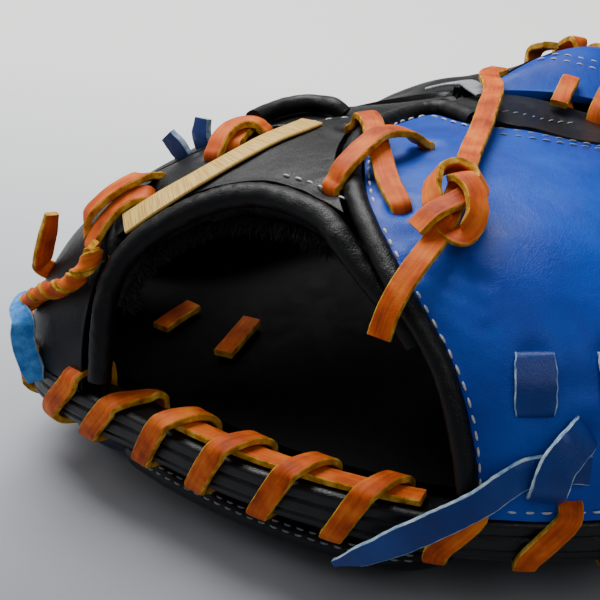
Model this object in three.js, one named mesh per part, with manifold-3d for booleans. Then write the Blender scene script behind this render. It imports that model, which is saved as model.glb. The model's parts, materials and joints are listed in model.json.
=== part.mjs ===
// Catcher's mitt for the left hand, lying pocket down with its wrist opening to the front.
// Millimetres, +Z up, +X the thumb side, +Y towards the finger tips.
// The origin is on the table, where the heel of the padding rests on it.
import * as THREE from 'three';
import { mergeVertices } from 'three/addons/utils/BufferGeometryUtils.js';
import Module from 'manifold-3d';

const wasm = await Module();
wasm.setup();

// Driving sizes
const REACH = 150;              // from the middle of the pocket out to the rim
const HUB_Y = 79;               // the middle of the pocket, behind the resting heel
const CROWN = 109;              // highest point of the back
const CROWN_Y = 4;              // where the back is highest
const FINGER_FALL = 0.0009;     // how fast the back falls towards the finger tips
const WRIST_FALL = 0.00054;     // and towards the wrist
const EDGE_TOP = 36;            // top of the stacked leather edge
const EDGE_HEIGHT = 14;
const EDGE_WIDTH = 11.5;
const EDGE_BEVEL = 1.6;
const EDGE_ROUND = 5.2;          // round of the edge's outer foot, which the lacing turns under
const GROOVE = 0.9;             // depth of the lines between the stacked layers
const SLOT = 4.6;               // lace way between the edge and the palm
const BACK_WALL = 3;            // leather of the back, with its felt
const PALM_WALL = 3;
const LINING_WALL = 2;
const SWELL = 6;                // how far the padding bulges out again below the lacing
const PAD_TUCK = 60;            // how far inside the rim the padding rests at the heel
const REST_WIDTH = 10;          // flattened strip that the padding rests on
const POCKET_DEPTH = 46;
const LINING_CROWN = 61;        // lining over the middle of the pocket
const GAP = 0.4;                // between neighbouring pieces
const PAD_GAP = 1;              // between the padding and its covers
const LACE_WIDTH = 6.4;
const LACE_THICK = 2.1;
const STITCHES = 40;            // rim stitches in a full turn
const STITCH_START = 245.9;     // azimuth of the first one at the heel
const STITCH_SLANT = 11;        // how far a stitch leans over the edge
const HEEL_SLANT = 17;          // and over the edge of the wrist opening
const WEB_LACE_WIDTH = 5.6;
const WOVEN_WIDTH = 11;         // the flat lace woven through the thumb's slits
const WOVEN_THICK = 1.6;
const WOVEN_AT = [296.2, 305, 313.6];
const FLEECE = 9;
const PIPING = 3.1;             // radius of the roll along the thumb
const ROLL = 3.6;               // radius of the padded roll round the wrist opening
const KNUCKLE_ROLL = 2.8;       // radius of the roll over the knuckles

// The rim and the back, every 22.5 degrees from the thumb side round by the finger tips.
// reach and tuck are shares of REACH and PAD_TUCK; side and top are how full the back
// swells at its side and near its crown; fill is how full the padding bulges below.
const SECTOR = 22.5;
const RIM = [
  { reach: 0.83, side: 2.4, top: 1.45, tuck: 0.60, fill: 2.0 },
  { reach: 0.82, side: 2.2, top: 1.40, tuck: 0.58, fill: 2.0 },
  { reach: 0.86, side: 2.7, top: 1.80, tuck: 0.58, fill: 2.0 },
  { reach: 0.94, side: 2.7, top: 1.80, tuck: 0.60, fill: 2.0 },
  { reach: 1.01, side: 2.3, top: 1.60, tuck: 0.62, fill: 2.0 },
  { reach: 0.99, side: 1.8, top: 1.30, tuck: 0.62, fill: 2.0 },
  { reach: 0.93, side: 1.7, top: 1.20, tuck: 0.60, fill: 2.0 },
  { reach: 0.85, side: 1.5, top: 1.10, tuck: 0.58, fill: 2.0 },
  { reach: 0.80, side: 1.5, top: 1.05, tuck: 0.56, fill: 2.1 },
  { reach: 0.87, side: 1.7, top: 1.10, tuck: 0.54, fill: 2.2 },
  { reach: 1.01, side: 3.4, top: 1.70, tuck: 0.58, fill: 2.2 },
  { reach: 0.95, side: 6.5, top: 2.20, tuck: 0.82, fill: 1.6 },
  { reach: 0.97, side: 8.0, top: 2.50, tuck: 1.03, fill: 1.2 },
  { reach: 1.02, side: 6.0, top: 2.30, tuck: 1.00, fill: 1.2 },
  { reach: 1.02, side: 3.4, top: 1.90, tuck: 0.80, fill: 1.6 },
  { reach: 0.90, side: 2.6, top: 1.55, tuck: 0.66, fill: 1.9 },
];

// Soft dents in the back, and the swell of the web: place, spread in degrees and in climb, depth
const DENTS = [
  { az: 340, climb: 0.78, across: 26, along: 0.12, deep: 4 },
  { az: 12, climb: 0.60, across: 14, along: 0.18, deep: 4 },
  { az: 60, climb: 0.64, across: 26, along: 0.34, deep: -15.5 },
  { az: 112, climb: 0.84, across: 40, along: 0.16, deep: -3.5 },
  { az: 284, climb: 0.40, across: 5, along: 0.05, deep: 1.6 },
  { az: 236, climb: 0.86, across: 24, along: 0.15, deep: 4 },
  { az: 226, climb: 0.43, across: 12, along: 0.12, deep: 3 },
  { az: 229, climb: 0.67, across: 10, along: 0.12, deep: 4 },
  { az: 160, climb: 0.42, across: 9, along: 0.24, deep: 3 },
  { az: 118, climb: 0.42, across: 7, along: 0.24, deep: 3 },
];

// Steps round the mitt: enough for its outline
const EDGE_STEPS = 54;
const PALM_STEPS = 36;

const RAD = Math.PI / 180;
const UP = new THREE.Vector3(0, 0, 1);

// Smooth value through evenly spaced ones, by a Catmull-Rom curve
function smooth(a, b, c, d, f) {
  return 0.5 * (2 * b + (c - a) * f + (2 * a - 5 * b + 4 * c - d) * f * f
    + (3 * b - a - 3 * c + d) * f * f * f);
}

function through(values, share) {
  const last = values.length - 1;
  const u = Math.min(Math.max(share, 0), 1) * last;
  const i = Math.min(Math.floor(u), last - 1);
  const at = (k) => values[Math.min(Math.max(k, 0), last)];
  return smooth(at(i - 1), at(i), at(i + 1), at(i + 2), u - i);
}

function rimAt(az) {
  const u = (((az % 360) + 360) % 360) / SECTOR;
  const i = Math.floor(u);
  const at = (k) => RIM[(k + RIM.length) % RIM.length];
  const mix = (key) => smooth(at(i - 1)[key], at(i)[key], at(i + 1)[key], at(i + 2)[key], u - i);
  return {
    reach: mix('reach') * REACH, side: mix('side'), top: mix('top'),
    tuck: mix('tuck') * PAD_TUCK, fill: mix('fill'),
  };
}

function place(az, r, z) {
  return new THREE.Vector3(r * Math.cos(az * RAD), HUB_Y + r * Math.sin(az * RAD), z);
}

// Inward from the rim: square to it over the edge and its lacing, then towards the hub
const SQUARE_INSET = 22;
function rimNormal(az) {
  const ahead = place(az + 0.5, rimAt(az + 0.5).reach, 0);
  const along = ahead.sub(place(az - 0.5, rimAt(az - 0.5).reach, 0));
  return along.cross(UP).normalize();
}

function rimPlace(az, inset, z) {
  const square = Math.min(inset, SQUARE_INSET);
  const radial = place(az, 1, 0).sub(place(az, 0, 0));
  return place(az, rimAt(az).reach, z).addScaledVector(rimNormal(az), -square)
    .addScaledVector(radial, square - inset);
}

function crownAt(y) {
  const off = y - CROWN_Y;
  return CROWN - (off > 0 ? FINGER_FALL : WRIST_FALL) * off * off;
}

// One radial section of the back from the rim to the crown, with its length so far
const SECTION_STEPS = 40;
const sections = new Map();
function sectionAt(az) {
  const key = Math.round(az * 1000);
  if (sections.has(key)) return sections.get(key);
  const { reach, side, top } = rimAt(az);
  const foot = EDGE_TOP + GAP;
  const points = [];
  let along = 0;
  for (let k = 0; k <= SECTION_STEPS; k += 1) {
    const turn = (Math.PI / 2) * (k / SECTION_STEPS);
    const out = k < SECTION_STEPS ? Math.cos(turn) ** (2 / side) : 0;
    const r = out * (reach - 2 * GAP);
    const y = HUB_Y + r * Math.sin(az * RAD);
    const z = foot + (crownAt(y) - foot) * Math.sin(turn) ** (2 / top);
    if (k > 0) along += Math.hypot(r - points[k - 1].r, z - points[k - 1].z);
    points.push({ r, z, along });
  }
  sections.set(key, points);
  return points;
}

function barePoint(az, climb) {
  const points = sectionAt(az);
  const goal = Math.min(Math.max(climb, 0), 1) * points[SECTION_STEPS].along;
  let k = 1;
  while (k < SECTION_STEPS && points[k].along < goal) k += 1;
  const a = points[k - 1];
  const b = points[k];
  const f = (goal - a.along) / (b.along - a.along);
  return place(az, a.r + (b.r - a.r) * f, a.z + (b.z - a.z) * f);
}

function backNormal(az, climb) {
  if (climb > 0.995) return UP.clone();
  const step = 0.012;
  const low = Math.max(climb - step, 0);
  const across = barePoint(az + 1, climb).sub(barePoint(az - 1, climb));
  const upward = barePoint(az, Math.min(climb + step, 1)).sub(barePoint(az, low));
  return across.cross(upward).normalize();
}

function dentAt(az, climb) {
  let deep = 0;
  for (const dent of DENTS) {
    const turn = ((az - dent.az + 540) % 360) - 180;
    const far = (turn / dent.across) ** 2 + ((climb - dent.climb) / dent.along) ** 2;
    deep += dent.deep * Math.exp(-far);
  }
  return deep * (1 - climb ** 8);
}

// A point on the back: azimuth in degrees, climb from the rim (0) to the crown (1), lift in mm
function onBack(az, climb, lift = 0) {
  const normal = backNormal(az, climb);
  return barePoint(az, climb).addScaledVector(normal, lift - dentAt(az, climb));
}

// A closed body from vertices and triangles: collapsed triangles dropped, faces turned outwards
function closedBody(vertices, triangles) {
  const kept = [];
  let volume = 0;
  for (const [a, b, c] of triangles) {
    const [p, q, s] = [vertices[a], vertices[b], vertices[c]];
    if (p.distanceTo(q) < 1e-4 || q.distanceTo(s) < 1e-4 || s.distanceTo(p) < 1e-4) continue;
    volume += p.dot(q.clone().cross(s));
    kept.push([p, q, s]);
  }
  const positions = [];
  for (const [p, q, s] of kept) {
    const order = volume > 0 ? [p, q, s] : [p, s, q];
    for (const v of order) positions.push(v.x, v.y, v.z);
  }
  const geometry = new THREE.BufferGeometry();
  geometry.setAttribute('position', new THREE.Float32BufferAttribute(positions, 3));
  return mergeVertices(geometry, 1e-3);
}

// A body whose rows are closed loops of points; it may close on itself, or end in flat caps
function loopBody(loops, ring = false) {
  const size = loops[0].length;
  const vertices = loops.flat();
  const triangles = [];
  const rows = ring ? loops.length : loops.length - 1;
  for (let i = 0; i < rows; i += 1) {
    const here = i * size;
    const next = ((i + 1) % loops.length) * size;
    for (let j = 0; j < size; j += 1) {
      const k = (j + 1) % size;
      triangles.push([here + j, next + j, next + k], [here + j, next + k, here + k]);
    }
  }
  if (!ring) {
    const end = (loops.length - 1) * size;
    for (let j = 1; j < size - 1; j += 1) {
      triangles.push([0, j, j + 1], [end, end + j + 1, end + j]);
    }
  }
  return closedBody(vertices, triangles);
}

// A leather sheet on the back. A rib is four [azimuth, climb] places from its foot to its top.
function straightRib(az0, climb0, az1, climb1) {
  return [0, 1 / 3, 2 / 3, 1].map((v) => [az0 + (az1 - az0) * v, climb0 + (climb1 - climb0) * v]);
}

function sheetPlace(ribs, u, v) {
  const az = through(ribs.map((rib) => through(rib.map((p) => p[0]), v)), u);
  const climb = through(ribs.map((rib) => through(rib.map((p) => p[1]), v)), u);
  return [az, climb];
}

function backSheet(ribs, columns, rows, wall = BACK_WALL, lift = 0) {
  const size = rows + 1;
  const vertices = [];
  for (const depth of [0, wall]) {
    for (let i = 0; i <= columns; i += 1) {
      for (let j = 0; j <= rows; j += 1) {
        const [az, climb] = sheetPlace(ribs, i / columns, j / rows);
        const corner = onBack(az, climb, lift - depth);
        corner.z = Math.max(corner.z, EDGE_TOP + GAP);
        vertices.push(corner);
      }
    }
  }
  const under = (columns + 1) * size;
  const triangles = [];
  const quad = (a, b, c, d) => triangles.push([a, b, c], [a, c, d]);
  for (let i = 0; i < columns; i += 1) {
    for (let j = 0; j < rows; j += 1) {
      const a = i * size + j;
      quad(a, a + size, a + size + 1, a + 1);
      quad(under + a, under + a + 1, under + a + size + 1, under + a + size);
    }
  }
  for (let i = 0; i < columns; i += 1) {
    const foot = i * size;
    const top = foot + rows;
    quad(foot, under + foot, under + foot + size, foot + size);
    quad(top, top + size, under + top + size, under + top);
  }
  for (let j = 0; j < rows; j += 1) {
    const far = columns * size + j;
    quad(j, j + 1, under + j + 1, under + j);
    quad(far, under + far, under + far + 1, far + 1);
  }
  return closedBody(vertices, triangles);
}

// A body turned round the hub, whose profile of points changes with the azimuth
function turnedBody(profileAt, steps) {
  const loops = [];
  for (let i = 0; i < steps; i += 1) loops.push(profileAt((360 * i) / steps));
  return loopBody(loops, true);
}

// A point between one in from the rim and the hub: share 1 is at the rim's side
function towardsHub(az, inset, share, z) {
  const from = rimPlace(az, inset, z);
  return new THREE.Vector3(from.x * share, HUB_Y + (from.y - HUB_Y) * share, z);
}

// A flat lace along stations { at, face }, where face is the way its broad side looks
function laceBody(stations, width = LACE_WIDTH, thick = LACE_THICK) {
  const loops = stations.map(({ at, face }, i) => {
    const before = stations[Math.max(i - 1, 0)].at;
    const after = stations[Math.min(i + 1, stations.length - 1)].at;
    const ahead = after.clone().sub(before).normalize();
    const out = face.clone().addScaledVector(ahead, -face.dot(ahead)).normalize();
    const aside = ahead.clone().cross(out);
    const corner = (w, t) => at.clone().addScaledVector(aside, w * width / 2)
      .addScaledVector(out, t * thick / 2);
    return [corner(-1, -1), corner(1, -1), corner(1, 1), corner(-1, 1)];
  });
  return loopBody(loops);
}

// A round roll or cord along a smooth curve through points
function rollBody(points, radius, sides = 8, steps = points.length * 2) {
  const outline = new THREE.Shape();
  for (let k = 0; k < sides; k += 1) {
    const turn = (2 * Math.PI * (k + 0.5)) / sides;
    const x = radius * Math.cos(turn);
    const y = radius * Math.sin(turn);
    if (k === 0) outline.moveTo(x, y);
    else outline.lineTo(x, y);
  }
  outline.closePath();
  const extrudePath = new THREE.CatmullRomCurve3(points, false, 'centripetal');
  return new THREE.ExtrudeGeometry(outline, { steps, bevelEnabled: false, extrudePath });
}

// Cuts and joins
function asManifold(geometry) {
  const bare = geometry.clone();
  bare.deleteAttribute('normal');
  bare.deleteAttribute('uv');
  const merged = mergeVertices(bare, 1e-3);
  return new wasm.Manifold(new wasm.Mesh({
    numProp: 3,
    vertProperties: new Float32Array(merged.attributes.position.array),
    triVerts: new Uint32Array(merged.index.array),
  }));
}

function asGeometry(manifold) {
  const mesh = manifold.getMesh();
  const geometry = new THREE.BufferGeometry();
  geometry.setAttribute('position', new THREE.BufferAttribute(mesh.vertProperties.slice(), 3));
  geometry.setIndex(new THREE.BufferAttribute(mesh.triVerts.slice(), 1));
  return geometry;
}

function without(geometry, cutters) {
  let body = asManifold(geometry);
  for (const cutter of cutters) body = body.subtract(asManifold(cutter));
  // A hole at an edge may leave an offcut: the sheet is the largest piece
  const pieces = body.decompose().sort((a, b) => b.volume() - a.volume());
  return asGeometry(pieces[0]);
}

// A box cut with its width along aside, its depth along deep, centred at a point
function boxCut(at, aside, deep, width, height, length) {
  const z = deep.clone().normalize();
  const x = aside.clone().addScaledVector(z, -aside.dot(z)).normalize();
  const y = z.clone().cross(x);
  const box = new THREE.BoxGeometry(width, height, length);
  box.applyMatrix4(new THREE.Matrix4().makeBasis(x, y, z).setPosition(at));
  return box;
}

const group = new THREE.Group();
const colours = {
  blue: '#1c4fae', black: '#1d1d1f', lace: '#cf6a22', gold: '#c39a45', fleece: '#141414',
};
function add(name, geometry, colour, roughness = 0.6) {
  const material = new THREE.MeshStandardMaterial({ color: colours[colour], roughness, metalness: 0 });
  const mesh = new THREE.Mesh(geometry, material);
  mesh.name = name;
  group.add(mesh);
}

// The stacked leather edge all round, with grooves between its layers
const EDGE_FOOT = EDGE_TOP - EDGE_HEIGHT;
function edgeProfile(az) {
  const layer = EDGE_HEIGHT / 3;
  const profile = [[EDGE_WIDTH, EDGE_FOOT + EDGE_BEVEL], [EDGE_WIDTH - EDGE_BEVEL, EDGE_FOOT],
    [EDGE_ROUND, EDGE_FOOT], [EDGE_ROUND * 0.3, EDGE_FOOT + EDGE_ROUND * 0.3]];
  for (const seam of [1, 2]) {
    const z = EDGE_FOOT + seam * layer;
    profile.push([0, z - GROOVE], [GROOVE, z], [0, z + GROOVE]);
  }
  profile.push([0, EDGE_TOP - EDGE_BEVEL], [EDGE_BEVEL, EDGE_TOP], [EDGE_WIDTH, EDGE_TOP]);
  return profile.map(([inset, z]) => rimPlace(az, inset, z));
}
add('edge_stack', turnedBody(edgeProfile, EDGE_STEPS), 'black');

// The palm: an outer shell of leather, padding inside it and a lining on top
const PALM_INSET = EDGE_WIDTH + SLOT;
const BULGE_TURNS = [0, 32, 60, 90];
const POCKET_SHARES = [1, 0.75, 0.5, 0.25, 0];
// The palm's side, from the lace slot at turn 0 down round the padding to where it lies down at 90
function palmSide(az, turn, inside) {
  const { tuck, fill } = rimAt(az);
  const out = Math.cos(turn * RAD) ** (2 / fill);
  const down = 1 - Math.sin(turn * RAD) ** (2 / fill);
  const inset = tuck + (PALM_INSET + inside - tuck) * out - SWELL * Math.sin(2 * turn * RAD);
  return { inset, z: inside + (EDGE_FOOT - inside) * down };
}
// The same side, then along the strip that rests and up the pocket
function palmLine(az, inside) {
  const { tuck } = rimAt(az);
  const line = BULGE_TURNS.map((turn) => {
    const { inset, z } = palmSide(az, turn, inside);
    return rimPlace(az, inset, z);
  });
  for (const share of POCKET_SHARES) {
    const rise = (1 - Math.cos(Math.PI * (1 - share))) / 2;
    line.push(towardsHub(az, tuck + REST_WIDTH, share, inside + POCKET_DEPTH * rise));
  }
  return line;
}

const PALM_TOP = EDGE_TOP - 4;
function palmShellProfile(az) {
  const outside = [rimPlace(az, PALM_INSET, PALM_TOP), ...palmLine(az, 0)];
  const inside = [rimPlace(az, PALM_INSET + PALM_WALL, PALM_TOP), ...palmLine(az, PALM_WALL)];
  return [...outside, ...inside.reverse()];
}
add('palm_shell', turnedBody(palmShellProfile, PALM_STEPS), 'blue');

const LINING_SHARES = [1, 0.8, 0.55, 0.28, 0];
function liningLine(az, inset, under) {
  return LINING_SHARES.map((share) => {
    const rise = (Math.cos(Math.PI * share) + 1) / 2;
    const z = EDGE_TOP + (LINING_CROWN - EDGE_TOP) * rise;
    return towardsHub(az, inset, share, z - under);
  });
}
function liningProfile(az) {
  return [...liningLine(az, PALM_INSET, 0), ...liningLine(az, PALM_INSET, LINING_WALL).reverse()];
}
add('palm_lining', turnedBody(liningProfile, PALM_STEPS), 'black');

function padProfile(az) {
  const inside = PALM_WALL + PAD_GAP;
  const over = liningLine(az, PALM_INSET + inside, LINING_WALL + PAD_GAP);
  return [...over, ...palmLine(az, inside).reverse()];
}
add('palm_padding', turnedBody(padProfile, PALM_STEPS), 'black');

// The padded heel: a second leather outside the palm, from under the lacing to where it lies down.
// Its outer line is in shares of PALM_INSET and EDGE_FOOT, its inner one follows the palm.
const HEEL_FROM = 240;
const HEEL_TO = 288;
const HEEL_STEP = 3;
const HEEL_FADE = 10;           // degrees over which it grows from each end
const HEEL_GAP = 0.9;
const HEEL_THIN = 1.6;          // thickness where it has faded
const HEEL_OUT = [[0.90, 0.80], [0.54, 0.77], [0.40, 0.64], [0.50, 0.47], [0.95, 0.32]];
const HEEL_IN = [60, 46, 32, 20];
function heelLoops() {
  const loops = [];
  for (let az = HEEL_FROM; az <= HEEL_TO; az += HEEL_STEP) {
    const rise = Math.min(az - HEEL_FROM, HEEL_TO - az) / HEEL_FADE;
    const grown = rise < 1 ? Math.sqrt(Math.max(rise * (2 - rise), 0)) : 1;
    const inner = HEEL_IN.map((turn) => palmSide(az, turn, -HEEL_GAP));
    const thin = HEEL_IN.map((turn) => palmSide(az, turn, -HEEL_GAP - HEEL_THIN)).reverse();
    const outer = HEEL_OUT.map(([inset, z], k) => {
      const from = thin[Math.min(k, thin.length - 1)];
      return { inset: from.inset + (inset * PALM_INSET - from.inset) * grown,
        z: from.z + (z * EDGE_FOOT - from.z) * grown };
    });
    loops.push([...outer, ...inner].map(({ inset, z }) => rimPlace(az, inset, z)));
  }
  return loops;
}
add('heel_patch', loopBody(heelLoops()), 'black');

// Rim lacing: one flat lace wound round the stacked edge, through the slot behind it
const WEB_FROM = 24;
const WEB_TO = 73;
const OPENING_FROM = 240;
const OPENING_TO = 289;
const stitchStep = 360 / STITCHES;
const LACE_CLEAR = 0.55 + LACE_THICK / 2;
const LACE_HOLE = 4.4;          // height of a lace hole above the foot of the back
const SHOULDER_SLANT = 0.42;    // share of the slant that lies on top of the edge
function inOpening(az) {
  return az > OPENING_FROM && az < OPENING_TO;
}
const RUNNING_FROM = 251;
const RUNNING_TO = 286;
function stitchTop(az) {
  if (!inOpening(az)) return EDGE_TOP + GAP + LACE_HOLE;
  const over = az > RUNNING_FROM && az < RUNNING_TO ? LACE_THICK + 0.4 : 0;
  return EDGE_TOP + LACE_CLEAR + over;
}
function stitchAzimuths() {
  const list = [];
  for (let k = -18; k < STITCHES; k += 1) {
    const az = STITCH_START + k * stitchStep;
    if (az > WEB_TO + 5 && az < 360 + WEB_FROM - 4) list.push(az);
  }
  return list;
}
function rimStations() {
  const stations = [];
  const put = (az, inset, z, outward, upward) => {
    const face = rimNormal(az).multiplyScalar(outward).addScaledVector(UP, upward);
    stations.push({ at: rimPlace(az, inset, z), face });
  };
  const slot = EDGE_WIDTH + SLOT / 2;
  const under = EDGE_FOOT - LACE_CLEAR - 0.3;
  const turnUnder = EDGE_ROUND * 0.3 - LACE_CLEAR * 0.8;
  for (const az of stitchAzimuths().reverse()) {
    const top = stitchTop(az);
    const slant = (inOpening(az) ? HEEL_SLANT : STITCH_SLANT) / rimAt(az).reach / RAD;
    const lean = az - slant;
    const shoulder = az - slant * (inOpening(az) ? SHOULDER_SLANT : 0);
    put(az, slot + 0.3, EDGE_FOOT + 2, -1, 0);
    put(az, slot, inOpening(az) ? EDGE_TOP - 2 : top - 2, -1, 0.2);
    if (inOpening(az)) {
      put(az, slot - 0.9, EDGE_TOP + LACE_CLEAR, -0.7, 0.7);
      put(az, (EDGE_WIDTH + LACE_WIDTH) / 2 + 0.6, top, -0.2, 1);
    } else {
      put(az, slot - 1, top, -0.7, 0.7);
    }
    put(shoulder, -0.4, top, 0.5, 0.8);
    put(shoulder, -LACE_CLEAR, top - 2.5, 1, 0.1);
    put(lean, -LACE_CLEAR, EDGE_FOOT + EDGE_ROUND * 0.7, 1, -0.1);
    put(lean, turnUnder, EDGE_FOOT + turnUnder, 0.7, -0.7);
    put(lean, EDGE_ROUND + 0.6, under, 0, -1);
    put(lean, EDGE_WIDTH + 1.5, under, -0.5, -0.8);
  }
  return stations;
}
add('rim_lacing', laceBody(rimStations()), 'lace');

function rimHoles(from, to) {
  const cuts = [];
  for (const az of stitchAzimuths()) {
    if (az < from || az > to || inOpening(az)) continue;
    const at = rimPlace(az, 6, EDGE_TOP + GAP + LACE_HOLE);
    const deep = rimNormal(az);
    cuts.push(boxCut(at, UP.clone().cross(deep), deep, LACE_WIDTH + 1.2, LACE_THICK + 1.2, 24));
  }
  return cuts;
}

// The lace that runs along the heel under the stitches
const running = [];
for (let az = RUNNING_FROM + 1; az <= RUNNING_TO - 1; az += 3) {
  running.push({ at: rimPlace(az, EDGE_WIDTH / 2, EDGE_TOP + LACE_CLEAR - 0.05), face: UP });
}
add('heel_running_lace', laceBody(running), 'lace');

// Places on the back, and what is laid along them
function backRoute(places) {
  return places.map(([az, climb, lift]) => onBack(az, climb, lift));
}

function backLace(places, width, thick) {
  const stations = places.map(([az, climb, lift]) => (
    { at: onBack(az, climb, lift), face: backNormal(az, climb) }));
  return laceBody(stations, width, thick);
}

// A lace that comes up through one hole, lies over the leather and goes down through another
const DIVE = BACK_WALL + 1.5;
function overLace(places, width = LACE_WIDTH, thick = LACE_THICK) {
  const first = places[0];
  const last = places[places.length - 1];
  const before = places[1];
  const after = places[places.length - 2];
  const toward = ([az0, climb0], [az1, climb1], share) => [
    az0 + (az1 - az0) * share, climb0 + (climb1 - climb0) * share];
  const stations = [];
  const put = ([az, climb], lift, ahead, up) => {
    const face = backNormal(az, climb).multiplyScalar(up).add(ahead);
    stations.push({ at: onBack(az, climb, lift), face });
  };
  const aheadOf = (a, b) => onBack(b[0], b[1]).sub(onBack(a[0], a[1])).normalize();
  const start = aheadOf(first, before);
  const end = aheadOf(after, last);
  put(first, -DIVE, start.clone().negate(), 0);
  put(first, thick * 0.3, start.clone().negate(), 0.6);
  const laid = [[...toward(first, before, 0.35), first[2]], ...places.slice(1, -1),
    [...toward(last, after, 0.35), last[2]]];
  for (const [az, climb, lift] of laid) {
    put([az, climb], lift, new THREE.Vector3(), 1);
  }
  put(last, thick * 0.3, end, 0.6);
  put(last, -DIVE, end, 0);
  const cuts = [[first, start], [last, end]].map(([[az, climb], deepWay]) => {
    const normal = backNormal(az, climb);
    const at = onBack(az, climb, -BACK_WALL / 2);
    return boxCut(at, normal.clone().cross(deepWay), normal, width + 1, thick + 1.8, BACK_WALL * 3);
  });
  return { body: laceBody(stations, width, thick), cuts };
}

const LAID = GAP + LACE_THICK / 2;

// Cross laces that tie the strap down, as places of azimuth, climb and lift
const crossLaces = {
  strap_lace_under: overLace([[252.4, 0.662, LAID], [257.4, 0.668, 6.2], [262.4, 0.652, 6.2],
    [266, 0.625, 4.6], [270, 0.575, 3.1], [274, 0.52, 2.2], [277.6, 0.466, LAID]]),
  strap_lace_over: overLace([[266.5, 0.459, LAID], [267, 0.482, 5.6], [267.4, 0.512, 6.3],
    [268.2, 0.546, 6.6], [269.9, 0.579, 7], [271.1, 0.629, 6.6], [272.8, 0.667, 4.4], [276.7, 0.653, LAID]]),
  middle_lace_under: overLace([[241, 0.492, LAID], [238.8, 0.52, 1.9], [236.4, 0.545, 1.9],
    [233.4, 0.567, LAID]]),
  middle_lace_over: overLace([[240.6, 0.455, LAID], [239.6, 0.48, 3.4], [238.6, 0.505, 4.8],
    [238.4, 0.53, 4.9], [239.5, 0.55, 3.6], [240.8, 0.56, LAID]]),
  side_lace_under: overLace([[234.4, 0.225, LAID], [234.6, 0.255, 2.2], [234.8, 0.295, 2.4],
    [236, 0.328, 2.2], [237.3, 0.345, LAID]]),
  side_lace_over: overLace([[231.2, 0.24, LAID], [232, 0.265, 4.8], [232.7, 0.30, 5.4],
    [234, 0.335, 5.2], [234.6, 0.36, 4], [233.6, 0.384, LAID]]),
};

// The lacing of the web: over from one sheet to the other and back underneath
const WEB_LACE_DROP = 2;
function webLace(nearSide, farSide, count) {
  const stations = [];
  const cuts = [];
  const under = -(BACK_WALL + WEB_LACE_DROP + LACE_THICK / 2);
  for (let k = 0; k < count; k += 1) {
    const share = (k + 0.5) / count;
    const near = nearSide(share);
    const far = farSide(share + 0.25 / count);
    const next = nearSide(Math.min(share + 1 / count, 1));
    for (const [a, b, sign] of [[near, far, 1], [far, next, -1]]) {
      if (sign < 0 && k === count - 1) continue;
      const way = onBack(b[0], b[1]).sub(onBack(a[0], a[1])).normalize();
      const lift = sign > 0 ? LAID + 1.4 : under;
      for (const [[az, climb], turn] of [[a, -1], [b, 1]]) {
        const face = backNormal(az, climb).multiplyScalar(sign).addScaledVector(way, turn);
        stations.push({ at: onBack(az, climb, lift), face });
      }
    }
    for (const [az, climb] of [near, far]) {
      const way = onBack(far[0], far[1]).sub(onBack(near[0], near[1])).normalize();
      const normal = backNormal(az, climb);
      const at = onBack(az, climb, -BACK_WALL / 2);
      cuts.push(boxCut(at, normal.clone().cross(way), normal, WEB_LACE_WIDTH + 2, LACE_THICK + 4.4,
        BACK_WALL * 3));
    }
  }
  return { body: laceBody(stations, WEB_LACE_WIDTH, LACE_THICK), cuts };
}
const webThumbLace = webLace((s) => [through([352, 372, 377.5, 379.6, 381], s), 0.86 - 0.50 * s],
  (s) => [through([395, 391, 388, 387, 386.5], s), 0.86 - 0.50 * s], 6);
const webFingerLace = webLace((s) => [through([66, 70, 71, 71.4], s), 0.84 - 0.62 * s],
  (s) => [through([82, 79, 78.4, 78], s), 0.84 - 0.62 * s], 6);

// The back, sewn from leather sheets
const thumbRibs = [
  [[291.7, 0], [289, 0.20], [273.8, 0.46], [261.5, 0.70]],
  [[304, 0], [299, 0.25], [288, 0.55], [265, 0.825]],
  straightRib(320, 0, 291, 0.775),
  straightRib(338, 0, 313, 0.745),
  straightRib(356, 0, 333, 0.66),
  straightRib(371, 0, 364, 0.50),
  straightRib(382, 0, 378, 0.26),
];
const wovenLaces = {};
WOVEN_AT.forEach((az, k) => {
  wovenLaces[`woven_lace_${k + 1}`] = overLace([[az, 0.23, 1.2], [az, 0.192, 1.9], [az, 0.154, 1.2]],
    WOVEN_WIDTH, WOVEN_THICK);
});
const KEEPER_WIDTH = 9.8;
const KEEPER_THICK = 1.8;
const heelKeeper = overLace([[297.3, 0.037, 3], [297.5, 0.060, 6.2], [298.1, 0.092, 6.8],
  [299.5, 0.114, 5.6], [301.2, 0.13, 3]], KEEPER_WIDTH, KEEPER_THICK);
const stubs = {
  blue_stub_1: [[227, 0.45, -2], [227, 0.447, 3], [226.5, 0.442, 8]],
  blue_stub_2: [[229.6, 0.487, -2], [229.6, 0.487, 3], [229.8, 0.50, 8]],
};
const STUB_FACE = new THREE.Vector3(-0.35, -0.94, 0);
const UPRIGHT_FACE = new THREE.Vector3(0.9, -0.43, 0);
const STUB_WIDTH = 7.5;
const STRAP_END_WIDTH = 7;
const STRAP_THICK = 2;
const SIDE_TAIL_AT = [223.5, 0.14];
const SIDE_STRAP_AT = [222.6, 0.105];
const stubCuts = Object.values(stubs).map(([[az, climb]]) => boxCut(onBack(az, climb, -1.5),
  STUB_FACE.clone().cross(backNormal(az, climb)), backNormal(az, climb), STUB_WIDTH + 1.4, 5.4, 12));

function crossCuts(...names) {
  return names.flatMap((name) => crossLaces[name].cuts);
}
const wovenCuts = Object.values(wovenLaces).flatMap((lace) => lace.cuts);
add('thumb_back', without(backSheet(thumbRibs, 20, 8), [...rimHoles(290, 383), ...wovenCuts,
  ...heelKeeper.cuts, ...crossCuts('strap_lace_under', 'strap_lace_over')]), 'blue', 0.5);

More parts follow.
